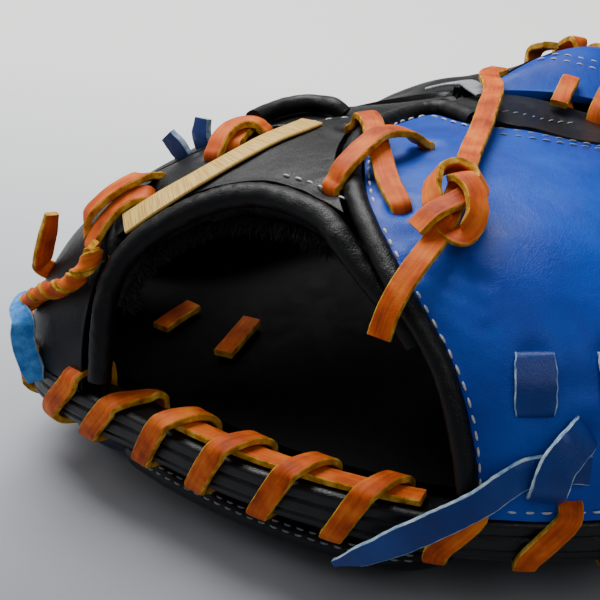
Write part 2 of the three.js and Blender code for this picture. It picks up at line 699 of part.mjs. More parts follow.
const fingerRibs = [
  straightRib(76, 0, 76, 1),
  straightRib(97, 0, 97, 1),
  straightRib(117, 0, 117, 1),
  straightRib(137, 0, 137, 1),
  straightRib(157, 0, 157, 1),
  straightRib(178, 0, 178, 1),
  [[198.7, 0], [204.4, 0.33], [205, 0.66], [204, 1]],
];
add('finger_back', without(backSheet(fingerRibs, 19, 7), [...rimHoles(76, 199), ...webFingerLace.cuts]),
  'black', 0.5);

const KNUCKLE_TOP = [232, 0.985];
const knuckleRibs = [
  straightRib(206, 0.362, ...KNUCKLE_TOP),
  straightRib(215, 0.378, ...KNUCKLE_TOP),
  straightRib(224, 0.37, ...KNUCKLE_TOP),
  straightRib(228.6, 0.432, ...KNUCKLE_TOP),
  straightRib(233, 0.508, ...KNUCKLE_TOP),
  straightRib(237.4, 0.598, ...KNUCKLE_TOP),
  straightRib(241.5, 0.675, ...KNUCKLE_TOP),
  straightRib(245.6, 0.75, ...KNUCKLE_TOP),
  straightRib(249, 0.762, ...KNUCKLE_TOP),
];
add('knuckle_back', without(backSheet(knuckleRibs, 16, 4), [...stubCuts,
  ...crossCuts('middle_lace_under', 'middle_lace_over', 'side_lace_under', 'side_lace_over')]),
'black', 0.5);

const littleFingerRibs = [
  [[199.6, 0], [203, 0.12], [205.4, 0.24], [206.5, 0.345]],
  straightRib(212, 0, 214, 0.36),
  straightRib(225, 0, 223.5, 0.335),
  straightRib(233, 0, 231, 0.27),
  straightRib(238, 0, 237.4, 0.215),
];
function sideCut([az, climb], across, width) {
  const normal = backNormal(az, climb);
  const at = onBack(az, climb, -BACK_WALL / 2);
  return boxCut(at, across.clone().cross(normal), normal, width + 1.6, 5.4, 12);
}
const sideCuts = [sideCut(SIDE_TAIL_AT, UPRIGHT_FACE, LACE_WIDTH),
  sideCut(SIDE_STRAP_AT, UP, STRAP_END_WIDTH)];
add('little_finger_back', without(backSheet(littleFingerRibs, 9, 4), [...rimHoles(199, 238), ...sideCuts,
  ...crossCuts('side_lace_under', 'side_lace_over')]), 'black', 0.5);

// The strip sewn to the thumb along the web, and the web itself
const stripRibs = [
  straightRib(258.5, 0.90, 258.5, 0.925),
  straightRib(269, 0.898, 268, 0.95),
  straightRib(288, 0.848, 296, 0.985),
  straightRib(304, 0.785, 348, 0.985),
  straightRib(317, 0.765, 372, 0.94),
  straightRib(335, 0.68, 377, 0.76),
  straightRib(363, 0.555, 379.5, 0.57),
  straightRib(376, 0.315, 381.5, 0.315),
];
add('thumb_strip', without(backSheet(stripRibs, 18, 3), webThumbLace.cuts), 'black', 0.5);

const webRibs = [
  straightRib(24.5, 0, 29, 0.95),
  straightRib(36, 0, 40, 0.975),
  straightRib(48, 0, 50, 0.98),
  straightRib(60, 0, 59, 0.975),
  straightRib(73, 0, 67, 0.95),
];
add('web', without(backSheet(webRibs, 10, 8), [...webThumbLace.cuts, ...webFingerLace.cuts]), 'blue', 0.5);
add('web_thumb_lacing', webThumbLace.body, 'lace');
add('web_finger_lacing', webFingerLace.body, 'lace');

// The wrist strap, its fleece and the rolled edge of the wrist opening
const strapRibs = [
  straightRib(237.4, 0.262, 224.5, 0.355),
  straightRib(240.4, 0.312, 229.3, 0.42),
  straightRib(244.4, 0.36, 233.6, 0.495),
  straightRib(249.4, 0.405, 238, 0.585),
  straightRib(256, 0.44, 242, 0.66),
  straightRib(263.4, 0.438, 246, 0.735),
  [[271.4, 0.412], [262.8, 0.535], [256.3, 0.63], [252, 0.725]],
];
add('wrist_strap', without(backSheet(strapRibs, 18, 5), crossCuts(...Object.keys(crossLaces))),
  'black', 0.5);
const fleeceRibs = [
  straightRib(237.6, 0.14, 229, 0.16),
  straightRib(237, 0.22, 228, 0.27),
  straightRib(238.6, 0.29, 230, 0.36),
  straightRib(241.6, 0.345, 234, 0.42),
  straightRib(246, 0.39, 239, 0.48),
  straightRib(252.8, 0.425, 247, 0.53),
  straightRib(261, 0.435, 256, 0.55),
  straightRib(267.5, 0.42, 262, 0.52),
];
add('strap_fleece', backSheet(fleeceRibs, 14, 2, FLEECE, -(DIVE + GAP)), 'fleece', 0.95);

const rollRoute = backRoute([[240.6, 0.03, -1], [240.6, 0.094, -1], [240, 0.162, -1], [240.1, 0.215, -1],
  [241.4, 0.261, -1], [244.2, 0.31, -1], [248.4, 0.36, -1], [253.2, 0.398, -1], [258.4, 0.415, -1],
  [265.1, 0.41, -1], [269.6, 0.393, -1], [272, 0.372, -1.6], [273.8, 0.357, -4.2], [275.6, 0.341, -7.8]]);
add('opening_roll', rollBody(rollRoute, ROLL, 8, 22), 'black', 0.5);

const pipingRoute = backRoute([[289.9, 0.04, 0], [289.2, 0.10, 0], [286.8, 0.205, 0], [280.4, 0.317, 0],
  [272.2, 0.443, 0], [265.4, 0.55, 0], [260.6, 0.64, 0], [257.6, 0.72, 0], [255.6, 0.79, 0],
  [256.6, 0.845, 0], [265, 0.865, 0], [278, 0.845, 0], [288.6, 0.802, 0]]);
add('thumb_piping', rollBody(pipingRoute, PIPING, 8, 26), 'black', 0.5);

const knuckleLift = KNUCKLE_ROLL + GAP;
const knuckleRoute = [[231.6, 0.575], [226, 0.605], [222.6, 0.64], [222, 0.672], [224.6, 0.705],
  [231, 0.725]];
const knuckleRoll = backRoute(knuckleRoute.map((p) => [...p, knuckleLift]));
add('knuckle_roll', rollBody(knuckleRoll, KNUCKLE_ROLL, 8, 10), 'black', 0.5);

const BAR_WIDTH = 8;
const BAR_THICK = 1;
const barLift = BAR_THICK / 2 + GAP + 0.05;
const barPlaces = [[238.1, 0.285], [241.2, 0.337], [244.6, 0.406], [246, 0.473], [245.8, 0.54],
  [245.4, 0.597], [244.2, 0.63]];
add('gold_bar', backLace(barPlaces.map((p) => [...p, barLift]), BAR_WIDTH, BAR_THICK), 'gold', 0.4);

for (const [name, lace] of Object.entries(crossLaces)) add(name, lace.body, 'lace');
for (const [name, lace] of Object.entries(wovenLaces)) add(name, lace.body, 'blue');
add('heel_keeper', heelKeeper.body, 'blue');
for (const [name, places] of Object.entries(stubs)) {
  const stations = backRoute(places).map((at) => ({ at, face: STUB_FACE }));
  add(name, laceBody(stations, STUB_WIDTH, STRAP_THICK), 'blue');
}

// The long lace from the web, with its knot
const longLace = [[50, 0.95, 4.5], [330, 0.97, 6.5], [301, 0.87, 7], [293.5, 0.77, 5.6],
  [290.4, 0.685, 4.2], [288.6, 0.61, 4], [287.6, 0.53, 5], [287, 0.47, 6.6], [286.2, 0.42, 6.4],
  [284.9, 0.375, 5.4], [283.4, 0.335, 5.6], [282, 0.30, 5.8], [280.9, 0.265, 5.4], [280.3, 0.235, 4.8]];
add('long_lace', backLace(longLace), 'lace');

const KNOT_AT = [286.7, 0.447];
const KNOT_LENGTH = 11;
const KNOT_HALF_WIDTH = 5.1;     // of the room that the long lace passes through
const KNOT_HALF_HEIGHT = 2.9;
const KNOT_BAND = 3.2;          // thickness of the lace drawn round it
const KNOT_LEAN = 2.5;
const KNOT_LIFT = 6.6;
function knotLoops() {
  const middle = onBack(...KNOT_AT, KNOT_LIFT);
  const up = backNormal(...KNOT_AT);
  const ahead = onBack(KNOT_AT[0], KNOT_AT[1] + 0.02).sub(onBack(...KNOT_AT));
  ahead.addScaledVector(up, -ahead.dot(up)).normalize();
  const aside = up.clone().cross(ahead);
  const loops = [];
  const turns = 12;
  for (let k = 0; k < turns; k += 1) {
    const turn = (2 * Math.PI * k) / turns;
    const corner = (across, along) => middle.clone()
      .addScaledVector(aside, Math.cos(turn) * (KNOT_HALF_WIDTH + across))
      .addScaledVector(up, Math.sin(turn) * (KNOT_HALF_HEIGHT + across))
      .addScaledVector(ahead, along + KNOT_LEAN * Math.cos(turn));
    const half = KNOT_LENGTH / 2;
    loops.push([corner(0, -half), corner(KNOT_BAND, -half), corner(KNOT_BAND, half), corner(0, half)]);
  }
  return loops;
}
add('lace_knot', loopBody(knotLoops(), true), 'lace');

// The blue strap drawn through its keeper at the heel, with its tip over the edge
const heelStrapTip = [[18, -73.6, 19], [28, -74.2, 25], [38, -73.8, 32], [46, -72.4, 37.5]];
const HEEL_STRAP_FACE = new THREE.Vector3(0.2, -0.95, 0.1);
const heelStrap = heelStrapTip.map((p) => ({ at: new THREE.Vector3(...p), face: HEEL_STRAP_FACE }));
for (const [az, climb, lift] of [[291.4, 0.042, 6], [293.4, 0.06, 3.6], [295.6, 0.076, 1.9],
  [297.5, 0.081, 1.7], [299.4, 0.081, 1.7], [301.6, 0.079, 1.7]]) {
  heelStrap.push({ at: onBack(az, climb, lift), face: backNormal(az, climb) });
}
const HEEL_STRAP_WIDTH = 8;
add('heel_strap', laceBody(heelStrap, HEEL_STRAP_WIDTH, KEEPER_THICK), 'blue');

// At the little finger: an upright lace end, a twisted lace and a hanging strap end
const tail = [onBack(...SIDE_TAIL_AT, -2), onBack(...SIDE_TAIL_AT, 3), new THREE.Vector3(-103.5, -22.5, 66),
  new THREE.Vector3(-101.5, -22, 74), new THREE.Vector3(-99.8, -21.5, 81)];
add('upright_lace_end', laceBody(tail.map((at) => ({ at, face: UPRIGHT_FACE }))), 'lace');

const twisted = [[224.5, 0.075, 3.4], [227.5, 0.105, 3.4], [230, 0.13, 3.4], [232.8, 0.148, 3.4],
  [235, 0.17, 3.4], [236.7, 0.20, 3.6], [237.4, 0.235, 4]];
const TWIST_RADIUS = 3;
add('twisted_lace', rollBody(backRoute(twisted), TWIST_RADIUS, 6, 12), 'lace');

// The strap end bends forward out of its hole and hangs just outside the rim lacing
const hanging = [[-111.4, -25, 56], [-109.4, -32, 55.5], [-105.6, -38, 51.5], [-102.8, -39.6, 45.4],
  [-99.8, -40.8, 39.9], [-97.4, -41.8, 34.6]];
const turningFaces = [[-0.6, -0.5, 0.6], [-0.4, -0.7, 0.6]];
const strapEnd = [-2, 2.6].map((lift) => ({ at: onBack(...SIDE_STRAP_AT, lift), face: UP }));
hanging.forEach((at, k) => {
  const face = turningFaces[k] ? new THREE.Vector3(...turningFaces[k]) : STUB_FACE;
  strapEnd.push({ at: new THREE.Vector3(...at), face });
});
add('side_strap_end', laceBody(strapEnd, STRAP_END_WIDTH, STRAP_THICK), 'blue');

// Lace ends that show on the lining
const INNER_LIFT = 2.6;
const innerLaces = {
  inner_lace_1: [[244.5, 0.81], [242.6, 0.74], [240.4, 0.67]],
  inner_lace_2: [[229.6, 0.82], [227.2, 0.77], [224.6, 0.72]],
};
for (const [name, places] of Object.entries(innerLaces)) {
  const stations = places.map(([az, share]) => {
    const rise = (Math.cos(Math.PI * share) + 1) / 2;
    const z = EDGE_TOP + (LINING_CROWN - EDGE_TOP) * rise + INNER_LIFT;
    return { at: towardsHub(az, PALM_INSET, share, z), face: UP };
  });
  add(name, laceBody(stations, LACE_WIDTH, LACE_THICK), 'lace');
}

export default group;
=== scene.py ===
"""Catcher's mitt for the left hand, worn, lying pocket down on a pale table.

Lengths are worked out in millimetres and turned to metres when a mesh is made.
"""
import json
import math

import bpy
import numpy as np
from mathutils import Matrix, Vector, noise

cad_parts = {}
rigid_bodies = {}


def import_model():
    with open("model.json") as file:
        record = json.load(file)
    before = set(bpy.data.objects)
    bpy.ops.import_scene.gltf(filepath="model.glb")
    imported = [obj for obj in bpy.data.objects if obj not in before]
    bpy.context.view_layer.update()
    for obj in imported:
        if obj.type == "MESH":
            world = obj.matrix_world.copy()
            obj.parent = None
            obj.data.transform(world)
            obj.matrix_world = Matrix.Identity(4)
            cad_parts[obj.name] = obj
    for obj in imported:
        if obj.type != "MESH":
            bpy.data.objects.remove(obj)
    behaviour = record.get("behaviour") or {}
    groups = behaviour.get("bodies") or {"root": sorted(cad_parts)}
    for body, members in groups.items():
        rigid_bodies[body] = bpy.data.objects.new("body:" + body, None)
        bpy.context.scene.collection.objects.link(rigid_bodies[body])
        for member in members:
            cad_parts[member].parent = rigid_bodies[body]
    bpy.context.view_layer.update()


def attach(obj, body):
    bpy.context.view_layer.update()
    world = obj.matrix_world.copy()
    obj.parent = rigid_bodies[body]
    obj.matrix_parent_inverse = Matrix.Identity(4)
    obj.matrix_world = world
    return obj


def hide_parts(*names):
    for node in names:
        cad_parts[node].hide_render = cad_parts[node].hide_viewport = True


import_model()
MM = 0.001

# Camera
camera_data = bpy.data.cameras.new("camera")
camera_data.lens = 107.56
camera_data.sensor_width = 36
camera_data.clip_end = 20
camera = bpy.data.objects.new("camera", camera_data)
bpy.context.collection.objects.link(camera)
looks_back = Vector((0.3830, -0.8214, 0.4226))
looks_right = Vector((0.9063, 0.4226, 0.0))
looks_up = looks_back.cross(looks_right)
turned = Matrix((looks_right, looks_up, looks_back)).transposed().to_4x4()
camera.matrix_world = Matrix.Translation((0.18233, -0.44784, 0.28775)) @ turned
bpy.context.scene.camera = camera

# The mitt's own sizes, in mm
REACH = 150
HUB_Y = 79
CROWN = 109
CROWN_Y = 4
FINGER_FALL = 0.0009
WRIST_FALL = 0.00054
EDGE_TOP = 36
EDGE_HEIGHT = 14
EDGE_FOOT = EDGE_TOP - EDGE_HEIGHT
EDGE_WIDTH = 11.5
EDGE_ROUND = 5.2
EDGE_BEVEL = 1.6
SLOT = 4.6
BACK_WALL = 3.0
PALM_WALL = 3.0
LINING_WALL = 2.0
SWELL = 6
PAD_TUCK = 60
REST_WIDTH = 10
POCKET_DEPTH = 46
LINING_CROWN = 61
GAP = 0.4
LACE_WIDTH = 6.4
LACE_THICK = 2.1
STITCHES = 40
STITCH_START = 245.9
STITCH_SLANT = 11
HEEL_SLANT = 17
WEB_LACE_WIDTH = 5.6
LAID = GAP + LACE_THICK / 2
DIVE = BACK_WALL + 1.5
SECTOR = 22.5
PALM_INSET = EDGE_WIDTH + SLOT

# reach, side, top, tuck, fill
RIM = np.array([
    (0.83, 2.4, 1.45, 0.60, 2.0), (0.82, 2.2, 1.40, 0.58, 2.0), (0.86, 2.7, 1.80, 0.58, 2.0),
    (0.94, 2.7, 1.80, 0.60, 2.0), (1.01, 2.3, 1.60, 0.62, 2.0), (0.99, 1.8, 1.30, 0.62, 2.0),
    (0.93, 1.7, 1.20, 0.60, 2.0), (0.85, 1.5, 1.10, 0.58, 2.0), (0.80, 1.5, 1.05, 0.56, 2.1),
    (0.87, 1.7, 1.10, 0.54, 2.2), (1.01, 3.4, 1.70, 0.58, 2.2), (0.95, 6.5, 2.20, 0.82, 1.6),
    (0.97, 8.0, 2.50, 1.03, 1.2), (1.02, 6.0, 2.30, 1.00, 1.2), (1.02, 3.4, 1.90, 0.80, 1.6),
    (0.90, 2.6, 1.55, 0.66, 1.9),
])

# azimuth, climb, spread in degrees, spread in climb, depth
DENTS = [
    (340, 0.78, 26, 0.12, 4), (12, 0.60, 14, 0.18, 4), (60, 0.64, 26, 0.34, -15.5),
    (112, 0.84, 40, 0.16, -3.5), (284, 0.40, 5, 0.05, 1.6), (236, 0.86, 24, 0.15, 4),
    (226, 0.43, 12, 0.12, 3), (229, 0.67, 10, 0.12, 4), (160, 0.42, 9, 0.24, 3), (118, 0.42, 7, 0.24, 3),
]


def smooth_between(a, b, c, d, f):
    """Catmull-Rom value between b and c."""
    return 0.5 * (2 * b + (c - a) * f + (2 * a - 5 * b + 4 * c - d) * f * f
                  + (3 * b - a - 3 * c + d) * f * f * f)


def rim_values(az):
    az = np.atleast_1d(np.asarray(az, float))
    u = np.mod(az, 360) / SECTOR
    i = np.floor(u).astype(int)
    f = (u - i)[:, None]
    row = [RIM[(i + k) % len(RIM)] for k in (-1, 0, 1, 2)]
    value = smooth_between(*row, f)
    return value[:, 0] * REACH, value[:, 1], value[:, 2], value[:, 3] * PAD_TUCK, value[:, 4]


def polar(az, r, z):
    az = np.radians(az)
    return np.stack([r * np.cos(az), HUB_Y + r * np.sin(az), z + 0 * r], -1)


def unit(v):
    return v / np.maximum(np.linalg.norm(v, axis=-1, keepdims=True), 1e-9)


def rim_normal(az):
    az = np.atleast_1d(np.asarray(az, float))
    along = polar(az + 0.5, rim_values(az + 0.5)[0], 0) - polar(az - 0.5, rim_values(az - 0.5)[0], 0)
    return unit(np.cross(along, (0, 0, 1)))


def rim_place(az, inset, z):
    """A point inward from the rim: square to it at first, then towards the hub."""
    az = np.atleast_1d(np.asarray(az, float))
    inset = np.asarray(inset, float) + 0 * az
    square = np.minimum(inset, 22)
    radial = unit(polar(az, np.ones_like(az), 0) - np.array([0, HUB_Y, 0]))
    point = polar(az, rim_values(az)[0], np.asarray(z, float))
    return point - rim_normal(az) * square[:, None] + radial * (square - inset)[:, None]


def crown_at(y):
    off = y - CROWN_Y
    return CROWN - np.where(off > 0, FINGER_FALL, WRIST_FALL) * off * off


TURN = np.linspace(0, math.pi / 2, 41)


def bare_points(az, climb):
    reach, side, top, _, _ = rim_values(az)
    foot = EDGE_TOP + GAP
    out = np.cos(TURN)[None, :] ** (2 / side)[:, None]
    out[:, -1] = 0
    r = out * (reach - 2 * GAP)[:, None]
    crown = crown_at(HUB_Y + r * np.sin(np.radians(az))[:, None])
    z = foot + (crown - foot) * np.sin(TURN)[None, :] ** (2 / top)[:, None]
    step = np.hypot(np.diff(r, axis=1), np.diff(z, axis=1))
    along = np.concatenate([np.zeros((len(az), 1)), np.cumsum(step, axis=1)], 1)
    goal = np.clip(climb, 0, 1) * along[:, -1]
    k = np.clip((along < goal[:, None]).sum(1), 1, len(TURN) - 1)[:, None]
    pick = lambda table, index: np.take_along_axis(table, index, 1)[:, 0]
    a, b = pick(along, k - 1), pick(along, k)
    f = (goal - a) / np.maximum(b - a, 1e-9)
    r = pick(r, k - 1) + (pick(r, k) - pick(r, k - 1)) * f
    z = pick(z, k - 1) + (pick(z, k) - pick(z, k - 1)) * f
    return polar(az, r, 0) + np.stack([0 * z, 0 * z, z], -1)


def back_normals(az, climb):
    across = bare_points(az + 1, climb) - bare_points(az - 1, climb)
    upward = bare_points(az, np.minimum(climb + 0.012, 1)) - bare_points(az, np.maximum(climb - 0.012, 0))
    normal = unit(np.cross(across, upward))
    normal[climb > 0.995] = (0, 0, 1)
    return normal


def on_back(az, climb, lift=0.0):
    """Points on the back: azimuth in degrees, climb from the rim (0) to the crown (1), lift in mm."""
    az = np.atleast_1d(np.asarray(az, float))
    climb = np.atleast_1d(np.asarray(climb, float))
    deep = np.zeros_like(az)
    for dent_az, dent_climb, across, along, depth in DENTS:
        turn = np.mod(az - dent_az + 540, 360) - 180
        deep += depth * np.exp(-(turn / across) ** 2 - ((climb - dent_climb) / along) ** 2)
    deep *= 1 - climb ** 8
    return bare_points(az, climb) + back_normals(az, climb) * (lift - deep)[:, None]


def through(values, share):
    """Smooth values through evenly spaced rows."""
    values = np.asarray(values, float)
    last = len(values) - 1
    u = np.clip(share, 0, 1) * last
    i = np.minimum(np.floor(u).astype(int), last - 1)
    row = [values[np.clip(i + k, 0, last)] for k in (-1, 0, 1, 2)]
    f = u - i
    if values.ndim > 1:
        f = f[..., None]
    return smooth_between(*row, f)


# Materials
def hex_linear(text, alpha=1.0):
    """An sRGB hex colour as linear values."""
    parts = [int(text[i:i + 2], 16) / 255 for i in (1, 3, 5)]
    return (*[p / 12.92 if p <= 0.04045 else ((p + 0.055) / 1.055) ** 2.4 for p in parts], alpha)


def add_node(tree, kind, settings=None, links=None):
    """Adds one node with its settings (attributes or socket values) and its incoming links."""
    made = tree.nodes.new(kind)
    for key, value in (settings or {}).items():
        if isinstance(key, str) and hasattr(made, key) and key not in made.inputs:
            setattr(made, key, value)
        else:
            made.inputs[key].default_value = value
    for key, source in (links or {}).items():
        tree.links.new(source, made.inputs[key])
    return made


def ramp(tree, source, stops):
    made = add_node(tree, "ShaderNodeValToRGB", links={"Fac": source})
    elements = made.color_ramp.elements
    while len(elements) < len(stops):
        elements.new(0.5)
    for element, (at, colour) in zip(elements, stops):
        element.position = at
        element.color = colour
    return made


def new_material(name):
    material = bpy.data.materials.new(name)
    material.use_nodes = True
    tree = material.node_tree
    shader = tree.nodes["Principled BSDF"]
    where = add_node(tree, "ShaderNodeTexCoord").outputs["Object"]
    return material, tree, shader, where


def grained_leather(name, dark, middle, light, rough, grain_mm=0.9, pebble=0.35, crease=0.25, specular=0.5,
                    patch_mm=38):
    """Milled, dyed leather: soft colour clouds, fine pores and pebbles, faint creases, satin gloss."""
    material, tree, shader, where = new_material(name)
    clouds = add_node(tree, "ShaderNodeTexNoise", {"Scale": 1000 / patch_mm, "Detail": 5, "Roughness": 0.6},
                      {"Vector": where})
    colour = ramp(tree, clouds.outputs["Fac"], [(0.3, hex_linear(dark)), (0.5, hex_linear(middle)),
                                                (0.75, hex_linear(light))])
    pores = add_node(tree, "ShaderNodeTexVoronoi", {"Scale": 1000 / grain_mm, "feature": "DISTANCE_TO_EDGE"},
                     {"Vector": where})
    pore_line = ramp(tree, pores.outputs["Distance"], [(0.0, (0, 0, 0, 1)), (0.12, (1, 1, 1, 1))])
    fine = add_node(tree, "ShaderNodeTexNoise", {"Scale": 1000 / (grain_mm * 0.35), "Detail": 3}, {"Vector": where})
    folds = add_node(tree, "ShaderNodeTexNoise", {"Scale": 1000 / 7, "Detail": 4, "Roughness": 0.55,
                                                  "Distortion": 0.6}, {"Vector": where})
    gloss = add_node(tree, "ShaderNodeMapRange", {"From Min": 0.3, "From Max": 0.7, "To Min": rough - 0.05,
                                                  "To Max": rough + 0.07}, {"Value": folds.outputs["Fac"]})
    bump = add_node(tree, "ShaderNodeBump", {"Strength": crease, "Distance": 0.0006},
                    {"Height": folds.outputs["Fac"]})
    bump = add_node(tree, "ShaderNodeBump", {"Strength": pebble, "Distance": 0.00012},
                    {"Height": pore_line.outputs["Color"], "Normal": bump.outputs["Normal"]})
    bump = add_node(tree, "ShaderNodeBump", {"Strength": pebble * 0.7, "Distance": 0.0001},
                    {"Height": fine.outputs["Fac"], "Normal": bump.outputs["Normal"]})
    tree.links.new(colour.outputs["Color"], shader.inputs["Base Color"])
    tree.links.new(gloss.outputs["Result"], shader.inputs["Roughness"])
    tree.links.new(bump.outputs["Normal"], shader.inputs["Normal"])
    shader.inputs["Specular IOR Level"].default_value = specular
    return material


def cut_edge(name, dark, middle, light, fibre_mm=0.35, strength=0.9):
    """The raw cut side of leather: loose pale fibres, no gloss."""
    material, tree, shader, where = new_material(name)
    fibre = add_node(tree, "ShaderNodeTexNoise", {"Scale": 1000 / fibre_mm, "Detail": 4, "Roughness": 0.7},
                     {"Vector": where})
    patch = add_node(tree, "ShaderNodeTexNoise", {"Scale": 1000 / 3.2, "Detail": 3}, {"Vector": where})
    both = add_node(tree, "ShaderNodeMath", {"operation": "MULTIPLY_ADD", 1: 0.5},
                    {0: fibre.outputs["Fac"], 2: patch.outputs["Fac"]})
    colour = ramp(tree, both.outputs["Value"], [(0.5, hex_linear(dark)), (0.72, hex_linear(middle)),
                                                (0.95, hex_linear(light))])
    bump = add_node(tree, "ShaderNodeBump", {"Strength": strength, "Distance": 0.0004},
                    {"Height": fibre.outputs["Fac"]})
    tree.links.new(colour.outputs["Color"], shader.inputs["Base Color"])
    tree.links.new(bump.outputs["Normal"], shader.inputs["Normal"])
    shader.inputs["Roughness"].default_value = 0.88
    shader.inputs["Specular IOR Level"].default_value = 0.25
    return material


def lace_leather(name, dark, middle, light, rough):
    """Oiled rawhide lace: streaks that run along it, small pores, a dull gloss."""
    material, tree, shader, where = new_material(name)
    along = add_node(tree, "ShaderNodeUVMap", {"uv_map": "along"})
    streaks = add_node(tree, "ShaderNodeMapping", {"Scale": (60, 900, 1)}, {"Vector": along.outputs["UV"]})
    streak = add_node(tree, "ShaderNodeTexNoise", {"Scale": 1.0, "Detail": 4, "Roughness": 0.6},
                      {"Vector": streaks.outputs["Vector"]})
    cloud = add_node(tree, "ShaderNodeTexNoise", {"Scale": 1000 / 9, "Detail": 4}, {"Vector": where})
    both = add_node(tree, "ShaderNodeMath", {"operation": "MULTIPLY_ADD", 1: 0.45},
                    {0: streak.outputs["Fac"], 2: cloud.outputs["Fac"]})
    colour = ramp(tree, both.outputs["Value"], [(0.5, hex_linear(dark)), (0.72, hex_linear(middle)),
                                                (0.95, hex_linear(light))])
    pores = add_node(tree, "ShaderNodeTexNoise", {"Scale": 1000 / 0.5, "Detail": 3}, {"Vector": where})
    bump = add_node(tree, "ShaderNodeBump", {"Strength": 0.35, "Distance": 0.0002},
                    {"Height": pores.outputs["Fac"]})
    bump = add_node(tree, "ShaderNodeBump", {"Strength": 0.25, "Distance": 0.0004},
                    {"Height": streak.outputs["Fac"], "Normal": bump.outputs["Normal"]})
    tree.links.new(colour.outputs["Color"], shader.inputs["Base Color"])
    tree.links.new(bump.outputs["Normal"], shader.inputs["Normal"])
    shader.inputs["Roughness"].default_value = rough
    shader.inputs["Specular IOR Level"].default_value = 0.25
    return material


def plied_thread(name, dark, light, rough=0.6):
    """Bonded sewing thread: pale, slightly fuzzy, two plies."""
    material, tree, shader, where = new_material(name)
    ply = add_node(tree, "ShaderNodeTexNoise", {"Scale": 1000 / 0.4, "Detail": 2}, {"Vector": where})
    colour = ramp(tree, ply.outputs["Fac"], [(0.3, hex_linear(dark)), (0.7, hex_linear(light))])
    bump = add_node(tree, "ShaderNodeBump", {"Strength": 0.6, "Distance": 0.0002}, {"Height": ply.outputs["Fac"]})
    tree.links.new(colour.outputs["Color"], shader.inputs["Base Color"])
    tree.links.new(bump.outputs["Normal"], shader.inputs["Normal"])
    shader.inputs["Roughness"].default_value = rough
    return material


def satin_thread(name, dark, light):
    """Satin stitch: fine shiny threads laid side by side across the bar."""
    material, tree, shader, where = new_material(name)
    along = add_node(tree, "ShaderNodeUVMap", {"uv_map": "along"})
    threads = add_node(tree, "ShaderNodeMapping", {"Scale": (2600, 120, 1)}, {"Vector": along.outputs["UV"]})
    thread = add_node(tree, "ShaderNodeTexNoise", {"Scale": 1.0, "Detail": 2}, {"Vector": threads.outputs["Vector"]})
    colour = ramp(tree, thread.outputs["Fac"], [(0.3, hex_linear(dark)), (0.7, hex_linear(light))])
    bump = add_node(tree, "ShaderNodeBump", {"Strength": 0.7, "Distance": 0.0002}, {"Height": thread.outputs["Fac"]})
    tree.links.new(colour.outputs["Color"], shader.inputs["Base Color"])
    tree.links.new(bump.outputs["Normal"], shader.inputs["Normal"])
    shader.inputs["Roughness"].default_value = 0.32
    return material


def felt(name, dark, light, fibre_mm=0.6):
    """Matted fibres: rough and without gloss."""
    material, tree, shader, where = new_material(name)
    fibre = add_node(tree, "ShaderNodeTexNoise", {"Scale": 1000 / fibre_mm, "Detail": 5, "Roughness": 0.75},
                     {"Vector": where})
    colour = ramp(tree, fibre.outputs["Fac"], [(0.35, hex_linear(dark)), (0.7, hex_linear(light))])
    bump = add_node(tree, "ShaderNodeBump", {"Strength": 0.8, "Distance": 0.0006}, {"Height": fibre.outputs["Fac"]})
    tree.links.new(colour.outputs["Color"], shader.inputs["Base Color"])
    tree.links.new(bump.outputs["Normal"], shader.inputs["Normal"])
    shader.inputs["Roughness"].default_value = 0.95
    shader.inputs["Specular IOR Level"].default_value = 0.15
    return material


blue_leather = grained_leather("royal blue steerhide", "#04349e", "#0646b8", "#0c5cd0", 0.42, 0.8, 0.30, 0.35, 0.28)
black_leather = grained_leather("black steerhide", "#060608", "#0a0a0c", "#121214", 0.4, 0.8, 0.40, 0.45, 0.3)
edge_leather = grained_leather("stacked black edge", "#060607", "#0a0a0c", "#121214", 0.36, 1.1, 0.35, 0.40, 0.4)
palm_leather = grained_leather("navy palm steerhide", "#070d22", "#0a1634", "#11234a", 0.42, 1.0, 0.40, 0.35)
lining_leather = grained_leather("black lining cowhide", "#030303", "#050505", "#080808", 0.7, 0.8, 0.30, 0.25, 0.12)
lace_face = lace_leather("orange rawhide face", "#9a3604", "#d65a0c", "#f58428", 0.62)
lace_edge = cut_edge("ochre rawhide edge", "#7c4a06", "#cc8e18", "#f6c654")
blue_lace_face = grained_leather("blue strap leather", "#03205e", "#052f80", "#0c459c", 0.42, 0.8, 0.3, 0.3)
blue_lace_edge = cut_edge("pale blue cut edge", "#4f7fb0", "#9fc0dc", "#dce9f2")
suede_face = cut_edge("light blue suede", "#1c5cae", "#3a84d2", "#5ca2e6", 0.5, 0.5)
white_thread = plied_thread("white bonded thread", "#a9adb6", "#e4e7ec")
grey_thread = plied_thread("grey bonded thread", "#6c7178", "#a3a9b2")
black_felt = felt("black felt padding", "#070707", "#111111")
fleece_pile = felt("black fleece pile", "#101011", "#48484a", 0.9)
grey_satin = satin_thread("grey satin thread", "#74777c", "#c2c6cc")
gold_thread = satin_thread("gold satin thread", "#c8922c", "#ffdc80")


# Ways of making a piece
def settle(obj, slot_name, *nodes):
    """The piece rides on the mitt and stands for its plain solids, which it hides. slot_name is not used."""
    if nodes:
        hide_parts(*nodes)
    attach(obj, "root")
    return obj


def only(obj):
    bpy.ops.object.select_all(action="DESELECT")
    obj.select_set(True)
    bpy.context.view_layer.objects.active = obj


def apply_modifier(obj, kind, **settings):
    only(obj)
    modifier = obj.modifiers.new(kind, kind)
    for key, value in settings.items():
        setattr(modifier, key, value)
    bpy.ops.object.modifier_apply(modifier=modifier.name)


def smooth_shade(obj, sharp=40):
    only(obj)
    bpy.ops.object.shade_smooth_by_angle(angle=math.radians(sharp))


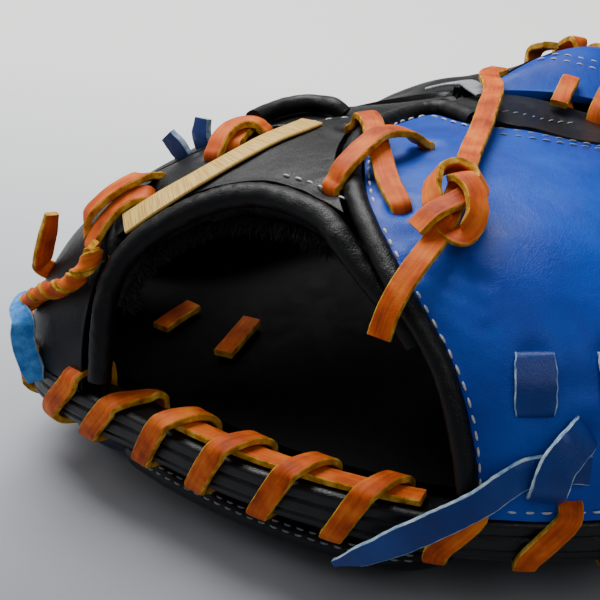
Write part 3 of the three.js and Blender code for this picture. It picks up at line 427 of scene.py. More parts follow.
def face_outwards(obj):
    only(obj)
    bpy.ops.object.mode_set(mode="EDIT")
    bpy.ops.mesh.select_all(action="SELECT")
    bpy.ops.mesh.remove_doubles(threshold=0.02 * MM)
    bpy.ops.mesh.normals_make_consistent(inside=False)
    bpy.ops.object.mode_set(mode="OBJECT")


def mesh_piece(name, points, faces, materials, index=None, along=None, sharp=40):
    """A closed mesh from points in mm. index is each face's material, along each corner's place."""
    mesh = bpy.data.meshes.new(name)
    mesh.from_pydata((np.asarray(points) * MM).tolist(), [], faces)
    for material in materials:
        mesh.materials.append(material)
    if index is not None:
        mesh.polygons.foreach_set("material_index", np.asarray(index, np.int32))
    if along is not None:
        layer = mesh.uv_layers.new(name="along")
        layer.data.foreach_set("uv", np.asarray(along, np.float32).ravel())
    mesh.update()
    obj = bpy.data.objects.new(name, mesh)
    bpy.context.collection.objects.link(obj)
    face_outwards(obj)
    smooth_shade(obj, sharp)
    return obj


def resample(stations, step):
    """A smooth curve through stations at even steps: rows of place, broad-side way and width."""
    table = np.asarray([np.concatenate([at, unit(np.asarray(way, float)), [width]])
                        for at, way, width in stations])
    points = table[:, :3]
    knots = np.concatenate([[0], np.cumsum(np.sqrt(np.linalg.norm(np.diff(points, axis=0), axis=1)))])
    ends = np.vstack([2 * points[0] - points[1], points, 2 * points[-1] - points[-2]])
    times = np.concatenate([[2 * knots[0] - knots[1]], knots, [2 * knots[-1] - knots[-2]]])
    rows = []
    for i in range(len(points) - 1):
        t0, t1, t2, t3 = times[i:i + 4]
        p0, p1, p2, p3 = ends[i:i + 4]
        t = np.linspace(t1, t2, 10, endpoint=i == len(points) - 2)[:, None]
        a1 = (t1 - t) / (t1 - t0) * p0 + (t - t0) / (t1 - t0) * p1
        a2 = (t2 - t) / (t2 - t1) * p1 + (t - t1) / (t2 - t1) * p2
        a3 = (t3 - t) / (t3 - t2) * p2 + (t - t2) / (t3 - t2) * p3
        b1 = (t2 - t) / (t2 - t0) * a1 + (t - t0) / (t2 - t0) * a2
        b2 = (t3 - t) / (t3 - t1) * a2 + (t - t1) / (t3 - t1) * a3
        f = (t - t1) / (t2 - t1)
        ease = f * f * (3 - 2 * f)
        place = (t2 - t) / (t2 - t1) * b1 + (t - t1) / (t2 - t1) * b2
        rows.append(np.hstack([place, table[i, 3:] * (1 - ease) + table[i + 1, 3:] * ease]))
    rows = np.vstack(rows)
    far = np.concatenate([[0], np.cumsum(np.linalg.norm(np.diff(rows[:, :3], axis=0), axis=1))])
    count = max(int(round(far[-1] / step)), 2)
    even = np.linspace(0, far[-1], count + 1)
    return np.stack([np.interp(even, far, rows[:, k]) for k in range(rows.shape[1])], -1), even


def swept(name, stations, profile, materials, side_faces=(), step=1.0, rough=0.0, seed=0.0, thin=None, sharp=40):
    """Sweeps a closed profile of (across, out) points along stations; side_faces get the cut edge.

    thin scales the profile's thickness at the two ends: (length in mm, least share).
    """
    rows, far = resample(stations, step)
    centre, ways, wide = rows[:, :3], rows[:, 3:6], rows[:, 6]
    ahead = unit(np.gradient(centre, axis=0))
    out = unit(ways - (ways * ahead).sum(1, keepdims=True) * ahead)
    aside = np.cross(ahead, out)
    profile = np.asarray(profile, float)
    count, size = len(centre), len(profile)
    deep = np.ones(count)
    if thin:
        near = np.minimum(far, far[-1] - far)
        deep = np.clip(thin[1] + (1 - thin[1]) * near / thin[0], thin[1], 1)
    grid = (centre[:, None, :] + aside[:, None, :] * (profile[None, :, 0] * wide[:, None])[..., None]
            + out[:, None, :] * (profile[None, :, 1] * deep[:, None])[..., None])
    if rough:
        move = Vector((seed, seed * 0.7, 0))
        push = np.array([[noise.noise(Vector(p) * 0.45 + move) for p in ring] for ring in grid])
        grid += (grid - centre[:, None, :]) * (rough * push)[..., None]
    faces, index, along = [], [], []
    rim = np.linalg.norm(np.diff(np.vstack([profile, profile[:1]]), axis=0), axis=1)
    around = np.concatenate([[0], np.cumsum(rim)])
    for i in range(count - 1):
        for j in range(size):
            k = (j + 1) % size
            faces.append((i * size + j, i * size + k, (i + 1) * size + k, (i + 1) * size + j))
            index.append(1 if j in side_faces else 0)
            u0, u1, v0, v1 = far[i] * MM, far[i + 1] * MM, around[j] * MM, around[j + 1] * MM
            along += [(u0, v0), (u0, v1), (u1, v1), (u1, v0)]
    last = (count - 1) * size
    faces += [tuple(range(size - 1, -1, -1)), tuple(last + j for j in range(size))]
    index += [1 if side_faces else 0] * 2
    along += [(0, 0)] * (2 * size)
    return mesh_piece(name, grid.reshape(-1, 3), faces, materials, index, along, sharp)


def flat_profile(width, thick):
    """A lace's section: flat faces with rounded cut sides."""
    w, t, b = width / 2, thick / 2, 0.3
    return [(-w, -t + b), (-w + b, -t), (-w * 0.35, -t), (w * 0.35, -t), (w - b, -t), (w, -t + b),
            (w, t - b), (w - b, t), (w * 0.35, t + 0.08), (-w * 0.35, t + 0.08), (-w + b, t), (-w, t - b)]


FLAT_SIDES = (0, 4, 5, 6, 10, 11)


def flat_lace(name, stations, width, thick, materials, step=1.0, rough=0.06, seed=0.0):
    return swept(name, stations, flat_profile(width, thick), materials, FLAT_SIDES, step, rough, seed)


def round_profile(radius, sides=20):
    turn = np.arange(sides) * 2 * math.pi / sides
    return np.stack([radius * np.cos(turn), radius * np.sin(turn)], -1)


def laid(places):
    """Stations on the back from places of azimuth, climb and lift."""
    table = np.asarray(places, float)
    at = on_back(table[:, 0], table[:, 1], table[:, 2])
    way = back_normals(table[:, 0], table[:, 1])
    return [(a, w, 1.0) for a, w in zip(at, way)]


def way_at(az, climb):
    return back_normals(np.array([az], float), np.array([climb], float))[0]


def spot(az, climb, lift=0.0):
    return on_back(az, climb, lift)[0]


def over_lace(places, thick=LACE_THICK):
    """A lace that comes up through a hole, lies over the leather and dives again."""
    first, last, before, after = places[0], places[-1], places[1], places[-2]
    start = unit(spot(*before[:2]) - spot(*first[:2]))
    end = unit(spot(*last[:2]) - spot(*after[:2]))
    stations = []

    def put(place, lift, ahead, up, width=1.0):
        stations.append((spot(place[0], place[1], lift), way_at(*place[:2]) * up + ahead, width))

    toward = lambda a, b: (a[0] + (b[0] - a[0]) * 0.35, a[1] + (b[1] - a[1]) * 0.35)
    put(first, -DIVE, -start, 0, 0.9)
    put(first, thick * 0.3, -start, 0.6, 0.92)
    put(toward(first, before), first[2], 0 * start, 1)
    for place in places[1:-1]:
        put(place, place[2], 0 * start, 1)
    put(toward(last, after), last[2], 0 * end, 1)
    put(last, thick * 0.3, end, 0.6, 0.92)
    put(last, -DIVE, end, 0, 0.9)
    return stations


def straight_rib(az0, climb0, az1, climb1):
    return [(az0 + (az1 - az0) * v, climb0 + (climb1 - climb0) * v) for v in (0, 1 / 3, 2 / 3, 1)]


def sheet_places(ribs, u, v):
    """Azimuth and climb at u along and v up a sheet of ribs."""
    ribs = [straight_rib(*rib) if np.isscalar(rib[0]) else rib for rib in ribs]
    along = np.stack([through(rib, v) for rib in ribs])
    last = len(ribs) - 1
    at = np.clip(u, 0, 1) * last
    i = np.minimum(np.floor(at).astype(int), last - 1)
    row = [along[np.clip(i + k, 0, last), np.arange(len(u))] for k in (-1, 0, 1, 2)]
    place = smooth_between(*row, (at - i)[:, None])
    return place[:, 0], place[:, 1]


def distance_to(points, line):
    near = np.full(len(points), 1e9)
    for a, b in zip(line[:-1], line[1:]):
        along = b - a
        t = np.clip(((points - a) @ along) / max(along @ along, 1e-9), 0, 1)
        near = np.minimum(near, np.linalg.norm(points - a - t[:, None] * along, axis=1))
    return near


def soft_noise(points, size, seed):
    move = Vector((seed, seed * 1.7, seed * 0.3))
    return np.array([noise.noise(Vector(p) / size + move) for p in points])


def leather_sheet(name, ribs, cell, materials, wall=BACK_WALL, lift=0.0, waves=0.5, creases=(), seed=1.0, rim=0.5):
    """A leather sheet of the back, with soft waves and pressed lines, given its wall and rounded rim.

    creases are (places, depth, width) with a depth in mm, below nought for a raised line.
    """
    mid = np.linspace(0, 1, 60)
    long_way = np.linalg.norm(np.diff(on_back(*sheet_places(ribs, mid, 0 * mid + 0.5)), axis=0), axis=1).sum()
    tall_way = max(np.linalg.norm(np.diff(on_back(*sheet_places(ribs, 0 * mid + s, mid)), axis=0), axis=1).sum()
                   for s in (0.2, 0.5, 0.8))
    columns, rows = max(int(long_way / cell), 6), max(int(tall_way / cell), 4)
    bpy.ops.object.select_all(action="DESELECT")
    bpy.ops.mesh.primitive_grid_add(x_subdivisions=columns, y_subdivisions=rows, size=1, enter_editmode=False)
    obj = bpy.context.object
    obj.name = obj.data.name = name
    flat = np.empty(len(obj.data.vertices) * 3)
    obj.data.vertices.foreach_get("co", flat)
    flat = flat.reshape(-1, 3) + 0.5
    az, climb = sheet_places(ribs, flat[:, 0], flat[:, 1])
    bare = on_back(az, climb, lift)
    normal = back_normals(az, climb)
    move = waves * soft_noise(bare, 30, seed) + waves * 0.45 * soft_noise(bare, 12, seed + 5)
    border = np.minimum(np.minimum(flat[:, 0], 1 - flat[:, 0]) * long_way,
                        np.minimum(flat[:, 1], 1 - flat[:, 1]) * tall_way)
    move *= np.clip(border / 4, 0, 1)
    for places, depth, width in creases:
        line = np.array([spot(*p) for p in places])
        far = distance_to(bare, line) / width
        move -= depth * (np.exp(-far ** 2) - 0.3 * np.exp(-((far - 2.1) / 0.9) ** 2))
    points = bare + normal * move[:, None]
    points[:, 2] = np.maximum(points[:, 2], EDGE_TOP + GAP)
    obj.data.vertices.foreach_set("co", (points * MM).ravel())
    obj.data.update()
    for material in materials:
        obj.data.materials.append(material)
    face = obj.data.polygons[len(obj.data.polygons) // 2]
    middle = np.array(face.center)
    nearest = np.argmin(np.linalg.norm(points * MM - middle, axis=1))
    if np.dot(np.array(face.normal), normal[nearest]) < 0:
        obj.data.flip_normals()
    only(obj)
    bpy.ops.object.mode_set(mode="EDIT")
    bpy.ops.mesh.select_all(action="SELECT")
    bpy.ops.mesh.remove_doubles(threshold=0.05 * MM)
    bpy.ops.object.mode_set(mode="OBJECT")
    last = len(materials) - 1
    apply_modifier(obj, "SOLIDIFY", thickness=wall * MM, offset=-1, use_even_offset=False,
                   material_offset=min(1, last), material_offset_rim=min(2, last))
    apply_modifier(obj, "BEVEL", width=rim * MM, segments=2, limit_method="ANGLE", angle_limit=math.radians(62))
    keep_above(obj, EDGE_TOP + GAP)
    smooth_shade(obj, 50)
    return obj


def joined(name, objects):
    only(objects[0])
    for obj in objects:
        obj.select_set(True)
    bpy.ops.object.join()
    bpy.context.object.name = bpy.context.object.data.name = name
    return bpy.context.object


def hollows(places, deep, wide):
    """Leather drawn in round lace holes, as very short creases."""
    return [([(az - 0.3, climb), (az + 0.3, climb)], deep, wide) for az, climb in places]


def keep_above(obj, z):
    flat = np.empty(len(obj.data.vertices) * 3)
    obj.data.vertices.foreach_get("co", flat)
    flat[2::3] = np.maximum(flat[2::3], z * MM)
    obj.data.vertices.foreach_set("co", flat)
    obj.data.update()


def turned(name, profile_at, steps, materials, index=None, waves=0.0, seed=0.0, sharp=50):
    """A closed ring round the hub, from a profile of points for every azimuth."""
    az = np.arange(steps) * 360.0 / steps
    loops = np.stack(profile_at(az), 1)
    size = loops.shape[1]
    if waves:
        middle = loops.mean(1, keepdims=True)
        push = soft_noise(loops.reshape(-1, 3), 9, seed).reshape(steps, size)
        loops = loops + unit(loops - middle) * (waves * push)[..., None]
    faces, kinds = [], []
    for i in range(steps):
        a, b = i * size, ((i + 1) % steps) * size
        for j in range(size):
            k = (j + 1) % size
            faces.append((a + j, b + j, b + k, a + k))
            kinds.append(index[j] if index else 0)
    return mesh_piece(name, loops.reshape(-1, 3), faces, materials, kinds, sharp=sharp)


def stitch_form():
    """One short thread, thickest in its middle and sinking at its ends, made along X, one mm long."""
    bpy.ops.object.select_all(action="DESELECT")
    bpy.ops.mesh.primitive_uv_sphere_add(segments=8, ring_count=6, radius=0.5, rotation=(0, math.pi / 2, 0))
    obj = bpy.context.object
    bpy.ops.object.transform_apply(location=False, rotation=True, scale=False)
    points = np.array([v.co[:] for v in obj.data.vertices])
    faces = [tuple(p.vertices) for p in obj.data.polygons]
    bpy.data.objects.remove(obj)
    return points, faces


THREAD_POINTS, THREAD_FACES = stitch_form()


def stitches(name, rows, material, long=2.7, pitch=4.3, thick=0.85, sink=0.1, slant=0.0):
    """Rows of sewn stitches. A row is a list of (place in mm, way out of the leather)."""
    points, faces = [], []
    rng = np.random.default_rng(len(name))
    for row in rows:
        table, far = resample([(at, way, 1.0) for at, way in row], 0.4)
        count = int(far[-1] / pitch)
        ahead_all = unit(np.gradient(table[:, :3], axis=0))
        for k in range(count):
            middle = (k + 0.5) * far[-1] / count
            pick = lambda values: np.array([np.interp(middle, far, values[:, i]) for i in range(3)])
            at, out, ahead = pick(table[:, :3]), unit(pick(table[:, 3:6])), unit(pick(ahead_all))
            aside = unit(np.cross(out, ahead))
            ahead = unit(ahead + aside * (slant + rng.normal(0, 0.05)))
            out = np.cross(ahead, aside)
            stretch = long * rng.uniform(0.92, 1.06)
            local = THREAD_POINTS * (stretch, thick, thick * 0.8)
            local[:, 2] -= thick * 0.55 * (2 * local[:, 0] / stretch) ** 4
            local[:, 2] += thick * 0.28 - sink
            world = at + local[:, :1] * ahead + local[:, 1:2] * unit(np.cross(out, ahead)) + local[:, 2:] * out
            faces += [tuple(v + len(points) * len(THREAD_POINTS) for v in f) for f in THREAD_FACES]
            points.append(world)
    return mesh_piece(name, np.vstack(points), faces, [material], sharp=80)


def along_back(places, lift=0.0):
    return [(spot(az, climb, lift), way_at(az, climb)) for az, climb in places]


# Cords: the long lace with its knot, and the strap at the heel
lace_materials = [lace_face, lace_edge]
long_places = [(50, 0.95, 4.5), (330, 0.97, 6.5), (301, 0.87, 7), (293.5, 0.77, 5.6), (290.4, 0.685, 4.2),
               (288.6, 0.61, 4), (287.6, 0.53, 5), (287, 0.47, 6.6), (286.2, 0.42, 6.4), (284.9, 0.375, 5.4),
               (283.4, 0.335, 5.6), (282, 0.30, 5.8), (280.9, 0.265, 5.4), (280.3, 0.235, 4.8)]
long_stations = laid(long_places)
long_lace = flat_lace("long_lace", long_stations, LACE_WIDTH, LACE_THICK, lace_materials, 0.8, 0.03, 3.0)


# The knot's lace from its short end: to the right, along the long lace, up, and how far its face tilts outwards
KNOT_AHEAD = 4
KNOT_PATH = [(-9.6, 10.5, -1.2, 0), (-5.4, 7, 2.2, 0), (-0.8, 3.2, 3, 0), (3.2, -1, 2.8, 0.3), (6.2, -5.2, 3, 0.9),
             (4.4, -10.2, 3.6, 0.95), (-0.8, -12.6, 3.9, 0.95), (-5.4, -9.4, 3.6, 0.95), (-6.6, -3, 3, 0.7),
             (-5.2, 3, 1.2, 0.5), (-1.2, 8.2, -2.6, 0), (3.6, 12, -0.6, 0.4), (6, 8, 3, 0.6), (5, 1.4, 5.6, 0.35),
             (2, -4, 6.2, 0.1), (-0.4, -8.4, 3.2, 0)]


def knot_stations():
    """An overhand knot drawn tight over the long lace, with its short end."""
    middle = spot(286.7, 0.447, 6.4)
    up = way_at(286.7, 0.447)
    ahead = spot(286.7, 0.427) - spot(286.7, 0.467)
    ahead = unit(ahead - up * (ahead @ up))
    aside = np.cross(up, ahead)
    if aside[0] < 0:
        aside = -aside
    stations = []
    for across, along, high, tilt in KNOT_PATH:
        way = up * (1 - 0.55 * tilt) + unit(aside * across + ahead * along * 0.8) * tilt
        stations.append((middle + aside * across + ahead * (along + KNOT_AHEAD) + up * high, way, 0.95))
    return stations


lace_knot = flat_lace("lace_knot", knot_stations(), LACE_WIDTH, LACE_THICK, lace_materials, 0.7, 0.03, 4.0)
settle(long_lace, "orange_lace", "long_lace")
settle(lace_knot, "orange_lace", "lace_knot")

strap_tip = [(18, -73.6, 19), (28, -74.2, 25), (38, -73.8, 32), (46, -72.4, 37.5)]
strap_laid = laid([(291.4, 0.042, 6), (293.4, 0.06, 3.6), (295.6, 0.076, 1.9), (297.5, 0.081, 1.7),
                   (299.4, 0.081, 1.7), (301.6, 0.079, 1.7)])
tip_widths = (0.25, 0.8, 1.0, 1.0)
strap_stations = [(np.array(at, float), np.array((0.2, -0.95, 0.1)), width)
                  for at, width in zip(strap_tip, tip_widths)] + strap_laid
heel_strap = flat_lace("heel_strap", strap_stations, 8.0, 1.8, [blue_lace_face, blue_lace_edge], 0.8, 0.05, 5.0)
settle(heel_strap, "blue_leather", "heel_strap")

# The stacked edge, the palm, its lining and padding
LAYER = EDGE_HEIGHT / 3


def edge_profile(az):
    """Three pressed layers: round at the outer foot, where the lacing turns under, and at the top."""
    points = []
    for k in range(3):
        for t in np.linspace(-0.97, 0.97, 9):
            z = EDGE_FOOT + (k + 0.5 + t / 2) * LAYER
            low = max(EDGE_FOOT + EDGE_ROUND - z, 0) / EDGE_ROUND
            high = max(z - EDGE_TOP + EDGE_BEVEL, 0) / EDGE_BEVEL
            inset = EDGE_ROUND * (1 - math.sqrt(1 - low ** 2)) + EDGE_BEVEL * (1 - math.sqrt(1 - high ** 2))
            points.append((inset + 0.8 * abs(t) ** 8, z))
    for t in np.linspace(0, 1, 7):
        points.append((2.2 + (EDGE_WIDTH - 3.2) * t, EDGE_TOP - 0.15 * abs(2 * t - 1) ** 2))
    points += [(EDGE_WIDTH - 0.3, EDGE_TOP - 0.7), (EDGE_WIDTH, EDGE_TOP - 2), (EDGE_WIDTH, EDGE_FOOT + 2),
               (EDGE_WIDTH - 0.7, EDGE_FOOT + 0.4)]
    for t in np.linspace(1, 0, 5):
        points.append((EDGE_ROUND + 0.6 + (EDGE_WIDTH - EDGE_ROUND - 2.4) * t, EDGE_FOOT))
    return [rim_place(az, inset, z) for inset, z in points]


edge_stack = turned("edge_stack", edge_profile, 540, [edge_leather], waves=0.22, seed=2.0)
settle(edge_stack, "black_leather", "edge_stack")


def towards_hub(az, inset, share, z):
    start = rim_place(az, inset, z)
    return np.stack([start[:, 0] * share, HUB_Y + (start[:, 1] - HUB_Y) * share, start[:, 2]], -1)


def palm_side(az, turn, inside):
    """The palm's side, from the lace slot at turn 0 down round the padding to where it rests at 90."""
    _, _, _, tuck, fill = rim_values(az)
    turn = math.radians(turn)
    out = max(math.cos(turn), 0) ** (2 / fill)
    down = 1 - math.sin(turn) ** (2 / fill)
    inset = tuck + (PALM_INSET + inside - tuck) * out - SWELL * math.sin(2 * turn)
    return inset, inside + (EDGE_FOOT - inside) * down


def palm_line(az, inside, bulge=13, pocket=14):
    line = [rim_place(az, *palm_side(az, turn, inside)) for turn in np.linspace(0, 90, bulge)]
    tuck = rim_values(az)[3]
    for share in np.linspace(1, 0, pocket):
        rise = (1 - math.cos(math.pi * (1 - share))) / 2
        line.append(towards_hub(az, tuck + REST_WIDTH, share, inside + POCKET_DEPTH * rise))
    return line


PALM_TOP = EDGE_TOP - 4


def palm_shell_profile(az):
    outside = [rim_place(az, PALM_INSET, PALM_TOP)] + palm_line(az, 0)
    inside = [rim_place(az, PALM_INSET + PALM_WALL, PALM_TOP)] + palm_line(az, PALM_WALL)
    return outside + inside[::-1]


palm_shell = turned("palm_shell", palm_shell_profile, 288, [palm_leather])
settle(palm_shell, "palm_leather", "palm_shell")


def lining_line(az, inset, under, count=16):
    line = []
    for share in np.linspace(1, 0, count):
        rise = (math.cos(math.pi * share) + 1) / 2
        z = EDGE_TOP + (LINING_CROWN - EDGE_TOP) * rise
        line.append(towards_hub(az, inset, share, z - under))
    return line


def lining_profile(az):
    return lining_line(az, PALM_INSET, 0) + lining_line(az, PALM_INSET, LINING_WALL)[::-1]


palm_lining = turned("palm_lining", lining_profile, 180, [lining_leather])
settle(palm_lining, "lining_leather", "palm_lining")
palm_padding = next(obj for obj in bpy.data.objects if obj.name == "palm_padding")
palm_padding.data.materials.clear()
palm_padding.data.materials.append(black_felt)

# The padded heel: its outer line in shares of PALM_INSET and EDGE_FOOT, growing from both ends
HEEL_FROM, HEEL_TO, HEEL_FADE = 240, 288, 10
HEEL_OUT = [(0.90, 0.80), (0.54, 0.77), (0.40, 0.64), (0.50, 0.47), (0.95, 0.32)]
HEEL_GAP, HEEL_THIN = 0.9, 1.6
heel_az = np.linspace(HEEL_FROM, HEEL_TO, 97)
heel_rise = np.minimum(heel_az - HEEL_FROM, HEEL_TO - heel_az) / HEEL_FADE
heel_grown = np.where(heel_rise < 1, np.sqrt(np.clip(heel_rise * (2 - heel_rise), 0, 1)), 1)


def heel_line(share):
    """Inset and height of the heel's outer face at a share of the way down it."""
    turn = 20 + 40 * share
    thin_inset, thin_z = palm_side(heel_az, turn, -HEEL_GAP - HEEL_THIN)
    inset, z = through(HEEL_OUT, np.array([share]))[0]
    return (thin_inset + (inset * PALM_INSET - thin_inset) * heel_grown,
            thin_z + (z * EDGE_FOOT - thin_z) * heel_grown)


heel_rows = [rim_place(heel_az, *heel_line(share)) for share in np.linspace(0, 1, 19)]
heel_rows += [rim_place(heel_az, *palm_side(heel_az, turn, -HEEL_GAP)) for turn in np.linspace(60, 20, 11)]
heel_loops = np.stack(heel_rows, 1)
size = heel_loops.shape[1]
heel_faces = [(i * size + j, (i + 1) * size + j, (i + 1) * size + (j + 1) % size, i * size + (j + 1) % size)
              for i in range(len(heel_az) - 1) for j in range(size)]
heel_faces += [tuple(range(size)), tuple((len(heel_az) - 1) * size + j for j in range(size))]
heel_patch = mesh_piece("heel_patch", heel_loops.reshape(-1, 3), heel_faces, [black_leather])
settle(heel_patch, "black_leather", "heel_patch")

# The back, sewn from leather sheets
blue_layers = [blue_leather, suede_face, blue_leather]
black_layers = [black_leather, black_felt, black_leather]
piping_line = [(289.9, 0.04), (289.2, 0.10), (286.8, 0.205), (280.4, 0.317), (272.2, 0.443), (265.4, 0.55),
               (260.6, 0.64), (257.6, 0.72), (255.6, 0.79), (256.6, 0.845), (265, 0.865), (278, 0.845),
               (288.6, 0.802)]
thumb_ribs = [[(290.9, 0), (288.1, 0.20), (273.2, 0.46), (261.2, 0.70)],
              [(304, 0), (299, 0.25), (288, 0.55), (265, 0.825)], (320, 0, 291, 0.775),
              (338, 0, 313, 0.745), (356, 0, 333, 0.66), (371, 0, 364, 0.50), (382, 0, 378, 0.26)]
thumb_creases = [([(281.6, 0.345), (285.9, 0.318), (290.3, 0.292)], 0.5, 1.8),
                 ([(282.6, 0.368), (286.8, 0.343), (291.5, 0.325)], 0.4, 1.6),
                 ([(284.5, 0.30), (288.2, 0.28), (291, 0.262)], 0.35, 1.5),
                 ([(270.5, 0.50), (273.4, 0.515), (276, 0.54)], 0.3, 1.3),
                 ([(267.6, 0.56), (270.6, 0.58), (273, 0.61)], 0.3, 1.3)]
thumb_holes = hollows([(279, 0.442), (277, 0.652), (297.3, 0.037), (301.2, 0.13)], 1.3, 3.0)
thumb_holes += hollows([(az, climb) for az in (296.2, 305, 313.6) for climb in (0.23, 0.154)], 0.7, 3.0)
thumb_back = leather_sheet("thumb_back", thumb_ribs, 1.4, blue_layers, waves=0.9,
                           creases=thumb_creases + thumb_holes, seed=7.0)
settle(thumb_back, "blue_leather", "thumb_back")

finger_ribs = [(76, 0, 76, 1), (97, 0, 97, 1), (117, 0, 117, 1), (137, 0, 137, 1), (157, 0, 157, 1),
               (178, 0, 178, 1), [(198.7, 0), (204.4, 0.33), (205, 0.66), (204, 1)]]
finger_back = leather_sheet("finger_back", finger_ribs, 1.8, black_layers, waves=1.0, seed=11.0)
settle(finger_back, "black_leather", "finger_back")

knuckle_ribs = [(206, 0.362, 232, 0.985), (215, 0.378, 232, 0.985), (224, 0.37, 232, 0.985),
                (228.6, 0.432, 232, 0.985), (233, 0.508, 232, 0.985), (237.4, 0.598, 232, 0.985),
                (241.5, 0.675, 232, 0.985), (245.6, 0.75, 232, 0.985), (249, 0.762, 232, 0.985)]
knuckle_holes = hollows([(233.4, 0.567), (233.6, 0.384), (240.8, 0.56)], 1.0, 3.0)
knuckle_back = leather_sheet("knuckle_back", knuckle_ribs, 1.2, black_layers, waves=0.7, creases=knuckle_holes,
                             seed=13.0)
settle(knuckle_back, "black_leather", "knuckle_back")

little_ribs = [[(199.6, 0), (203, 0.12), (205.4, 0.24), (206.5, 0.345)], (212, 0, 214, 0.36),
               (225, 0, 223.5, 0.335), (233, 0, 231, 0.27), (238, 0, 237.4, 0.215)]
little_finger_back = leather_sheet("little_finger_back", little_ribs, 1.0, black_layers, waves=0.5, seed=17.0)
settle(little_finger_back, "black_leather", "little_finger_back")

strip_ribs = [(258.5, 0.90, 258.5, 0.925), (269, 0.898, 268, 0.95), (288, 0.848, 296, 0.985),
              (304, 0.785, 348, 0.985), (317, 0.765, 372, 0.94), (335, 0.68, 377, 0.76),
              (363, 0.555, 379.5, 0.57), (376, 0.315, 381.5, 0.315)]
thumb_strip = leather_sheet("thumb_strip", strip_ribs, 1.2, black_layers, waves=0.4, seed=19.0)
settle(thumb_strip, "black_leather", "thumb_strip")

web_ribs = [(24.5, 0, 29, 0.95), (36, 0, 40, 0.975), (48, 0, 50, 0.98), (60, 0, 59, 0.975), (73, 0, 67, 0.95)]
web = leather_sheet("web", web_ribs, 1.5, blue_layers, waves=0.6, seed=23.0)
settle(web, "blue_leather", "web")

strap_ribs = [(237.4, 0.262, 224.5, 0.355), (240.4, 0.312, 229.3, 0.42), (244.4, 0.36, 233.6, 0.495),
              (249.4, 0.405, 238, 0.585), (256, 0.44, 242, 0.66), (263.4, 0.438, 246, 0.735),
              [(271.4, 0.412), (262.8, 0.535), (256.3, 0.63), (252, 0.725)]]
strap_holes = hollows([(254.8, 0.66), (267.2, 0.457), (241, 0.492), (240.6, 0.455), (237.3, 0.345)], 1.3, 3.0)
wrist_strap = leather_sheet("wrist_strap", strap_ribs, 1.1, black_layers, waves=0.6, creases=strap_holes, seed=29.0)
settle(wrist_strap, "black_leather", "wrist_strap")

fleece_ribs = [(237.6, 0.14, 229, 0.16), (237, 0.22, 228, 0.27), (238.6, 0.29, 230, 0.36), (241.6, 0.345, 234, 0.42),
               (246, 0.39, 239, 0.48), (252.8, 0.425, 247, 0.53), (261, 0.435, 256, 0.55), (267.5, 0.42, 262, 0.52)]
strap_fleece = leather_sheet("strap_fleece", fleece_ribs, 1.4, [fleece_pile], 9, -(DIVE + GAP), 0.8, seed=31.0, rim=2.2)
settle(strap_fleece, "fleece", "strap_fleece")


def tufts(name, count, material):
    """Locks of pile that stand out of the fleece towards the hand and hang below its near edge."""
    rng = np.random.default_rng(5)
    u, v = rng.uniform(0.01, 0.99, count), rng.uniform(0, 1, count) ** 1.6 * 0.9
    az, climb = sheet_places(fleece_ribs, u, v)
    near_az, near_climb = sheet_places(fleece_ribs, u, np.zeros(count))
    root = on_back(az, climb, -(DIVE + GAP + 8.4))
    way = back_normals(az, climb)
    edge = unit(on_back(near_az, near_climb) - on_back(*sheet_places(fleece_ribs, u, np.full(count, 0.2))))
    lie = unit(-way * 0.8 + edge * (0.9 - v)[:, None] + rng.normal(0, 0.35, (count, 3)))
    long = rng.uniform(2.5, 6.5, count)[:, None]
    side = unit(np.cross(lie, rng.normal(0, 1, (count, 3))))
    other = np.cross(lie, side)
    bend = unit(rng.normal(0, 1, (count, 3))) * 1.2
    points, faces = [], []
    for k in range(3):
        turn = 2 * math.pi * k / 3
        points.append(root + (side * math.cos(turn) + other * math.sin(turn)) * 0.55)
    for k in range(3):
        turn = 2 * math.pi * k / 3
        points.append(root + lie * long * 0.55 + bend * 0.4 + (side * math.cos(turn) + other * math.sin(turn)) * 0.4)
    points.append(root + lie * long + bend)
    points = np.stack(points, 1)
    for i in range(count):
        a = i * 7
        faces.append((a, a + 2, a + 1))
        for k in range(3):
            j = (k + 1) % 3
            faces.append((a + k, a + j, a + 3 + j, a + 3 + k))
            faces.append((a + 3 + k, a + 3 + j, a + 6))
    return mesh_piece(name, points.reshape(-1, 3), faces, [material], sharp=80)


fleece_tufts = tufts("fleece_tufts", 5200, fleece_pile)
settle(fleece_tufts, "fleece")

# Rolls and piping
roll_places = [(240.6, 0.03, -1), (240.6, 0.094, -1), (240, 0.162, -1), (240.1, 0.215, -1), (241.4, 0.261, -1),
               (244.2, 0.31, -1), (248.4, 0.36, -1), (253.2, 0.398, -1), (258.4, 0.415, -1), (265.1, 0.41, -1),
               (269.6, 0.393, -1), (272, 0.372, -1.8), (274.2, 0.352, -3.8), (276.6, 0.328, -5.8), (279.2, 0.30, -7.4),
               (281.4, 0.268, -9), (283, 0.235, -11)]
opening_roll = swept("opening_roll", laid(roll_places), round_profile(3.6), [black_leather], step=1.0, rough=0.10,
                     seed=6.0, thin=None)
settle(opening_roll, "black_leather", "opening_roll")
piping_places = [(*p, 0) for p in piping_line]
thumb_piping = swept("thumb_piping", laid(piping_places), round_profile(3.1), [black_leather], step=1.0, rough=0.07,
                     seed=8.0)
settle(thumb_piping, "black_leather", "thumb_piping")
KNUCKLE_ROLL = 2.8
knuckle_line = [(231.6, 0.575), (226, 0.605), (222.6, 0.64), (222, 0.672), (224.6, 0.705), (231, 0.725)]
knuckle_roll = swept("knuckle_roll", laid([(*p, KNUCKLE_ROLL + GAP) for p in knuckle_line] + [(234, 0.735, 0.5)]),
                     round_profile(KNUCKLE_ROLL), [black_leather], rough=0.05)
settle(knuckle_roll, "black_leather", "knuckle_roll")
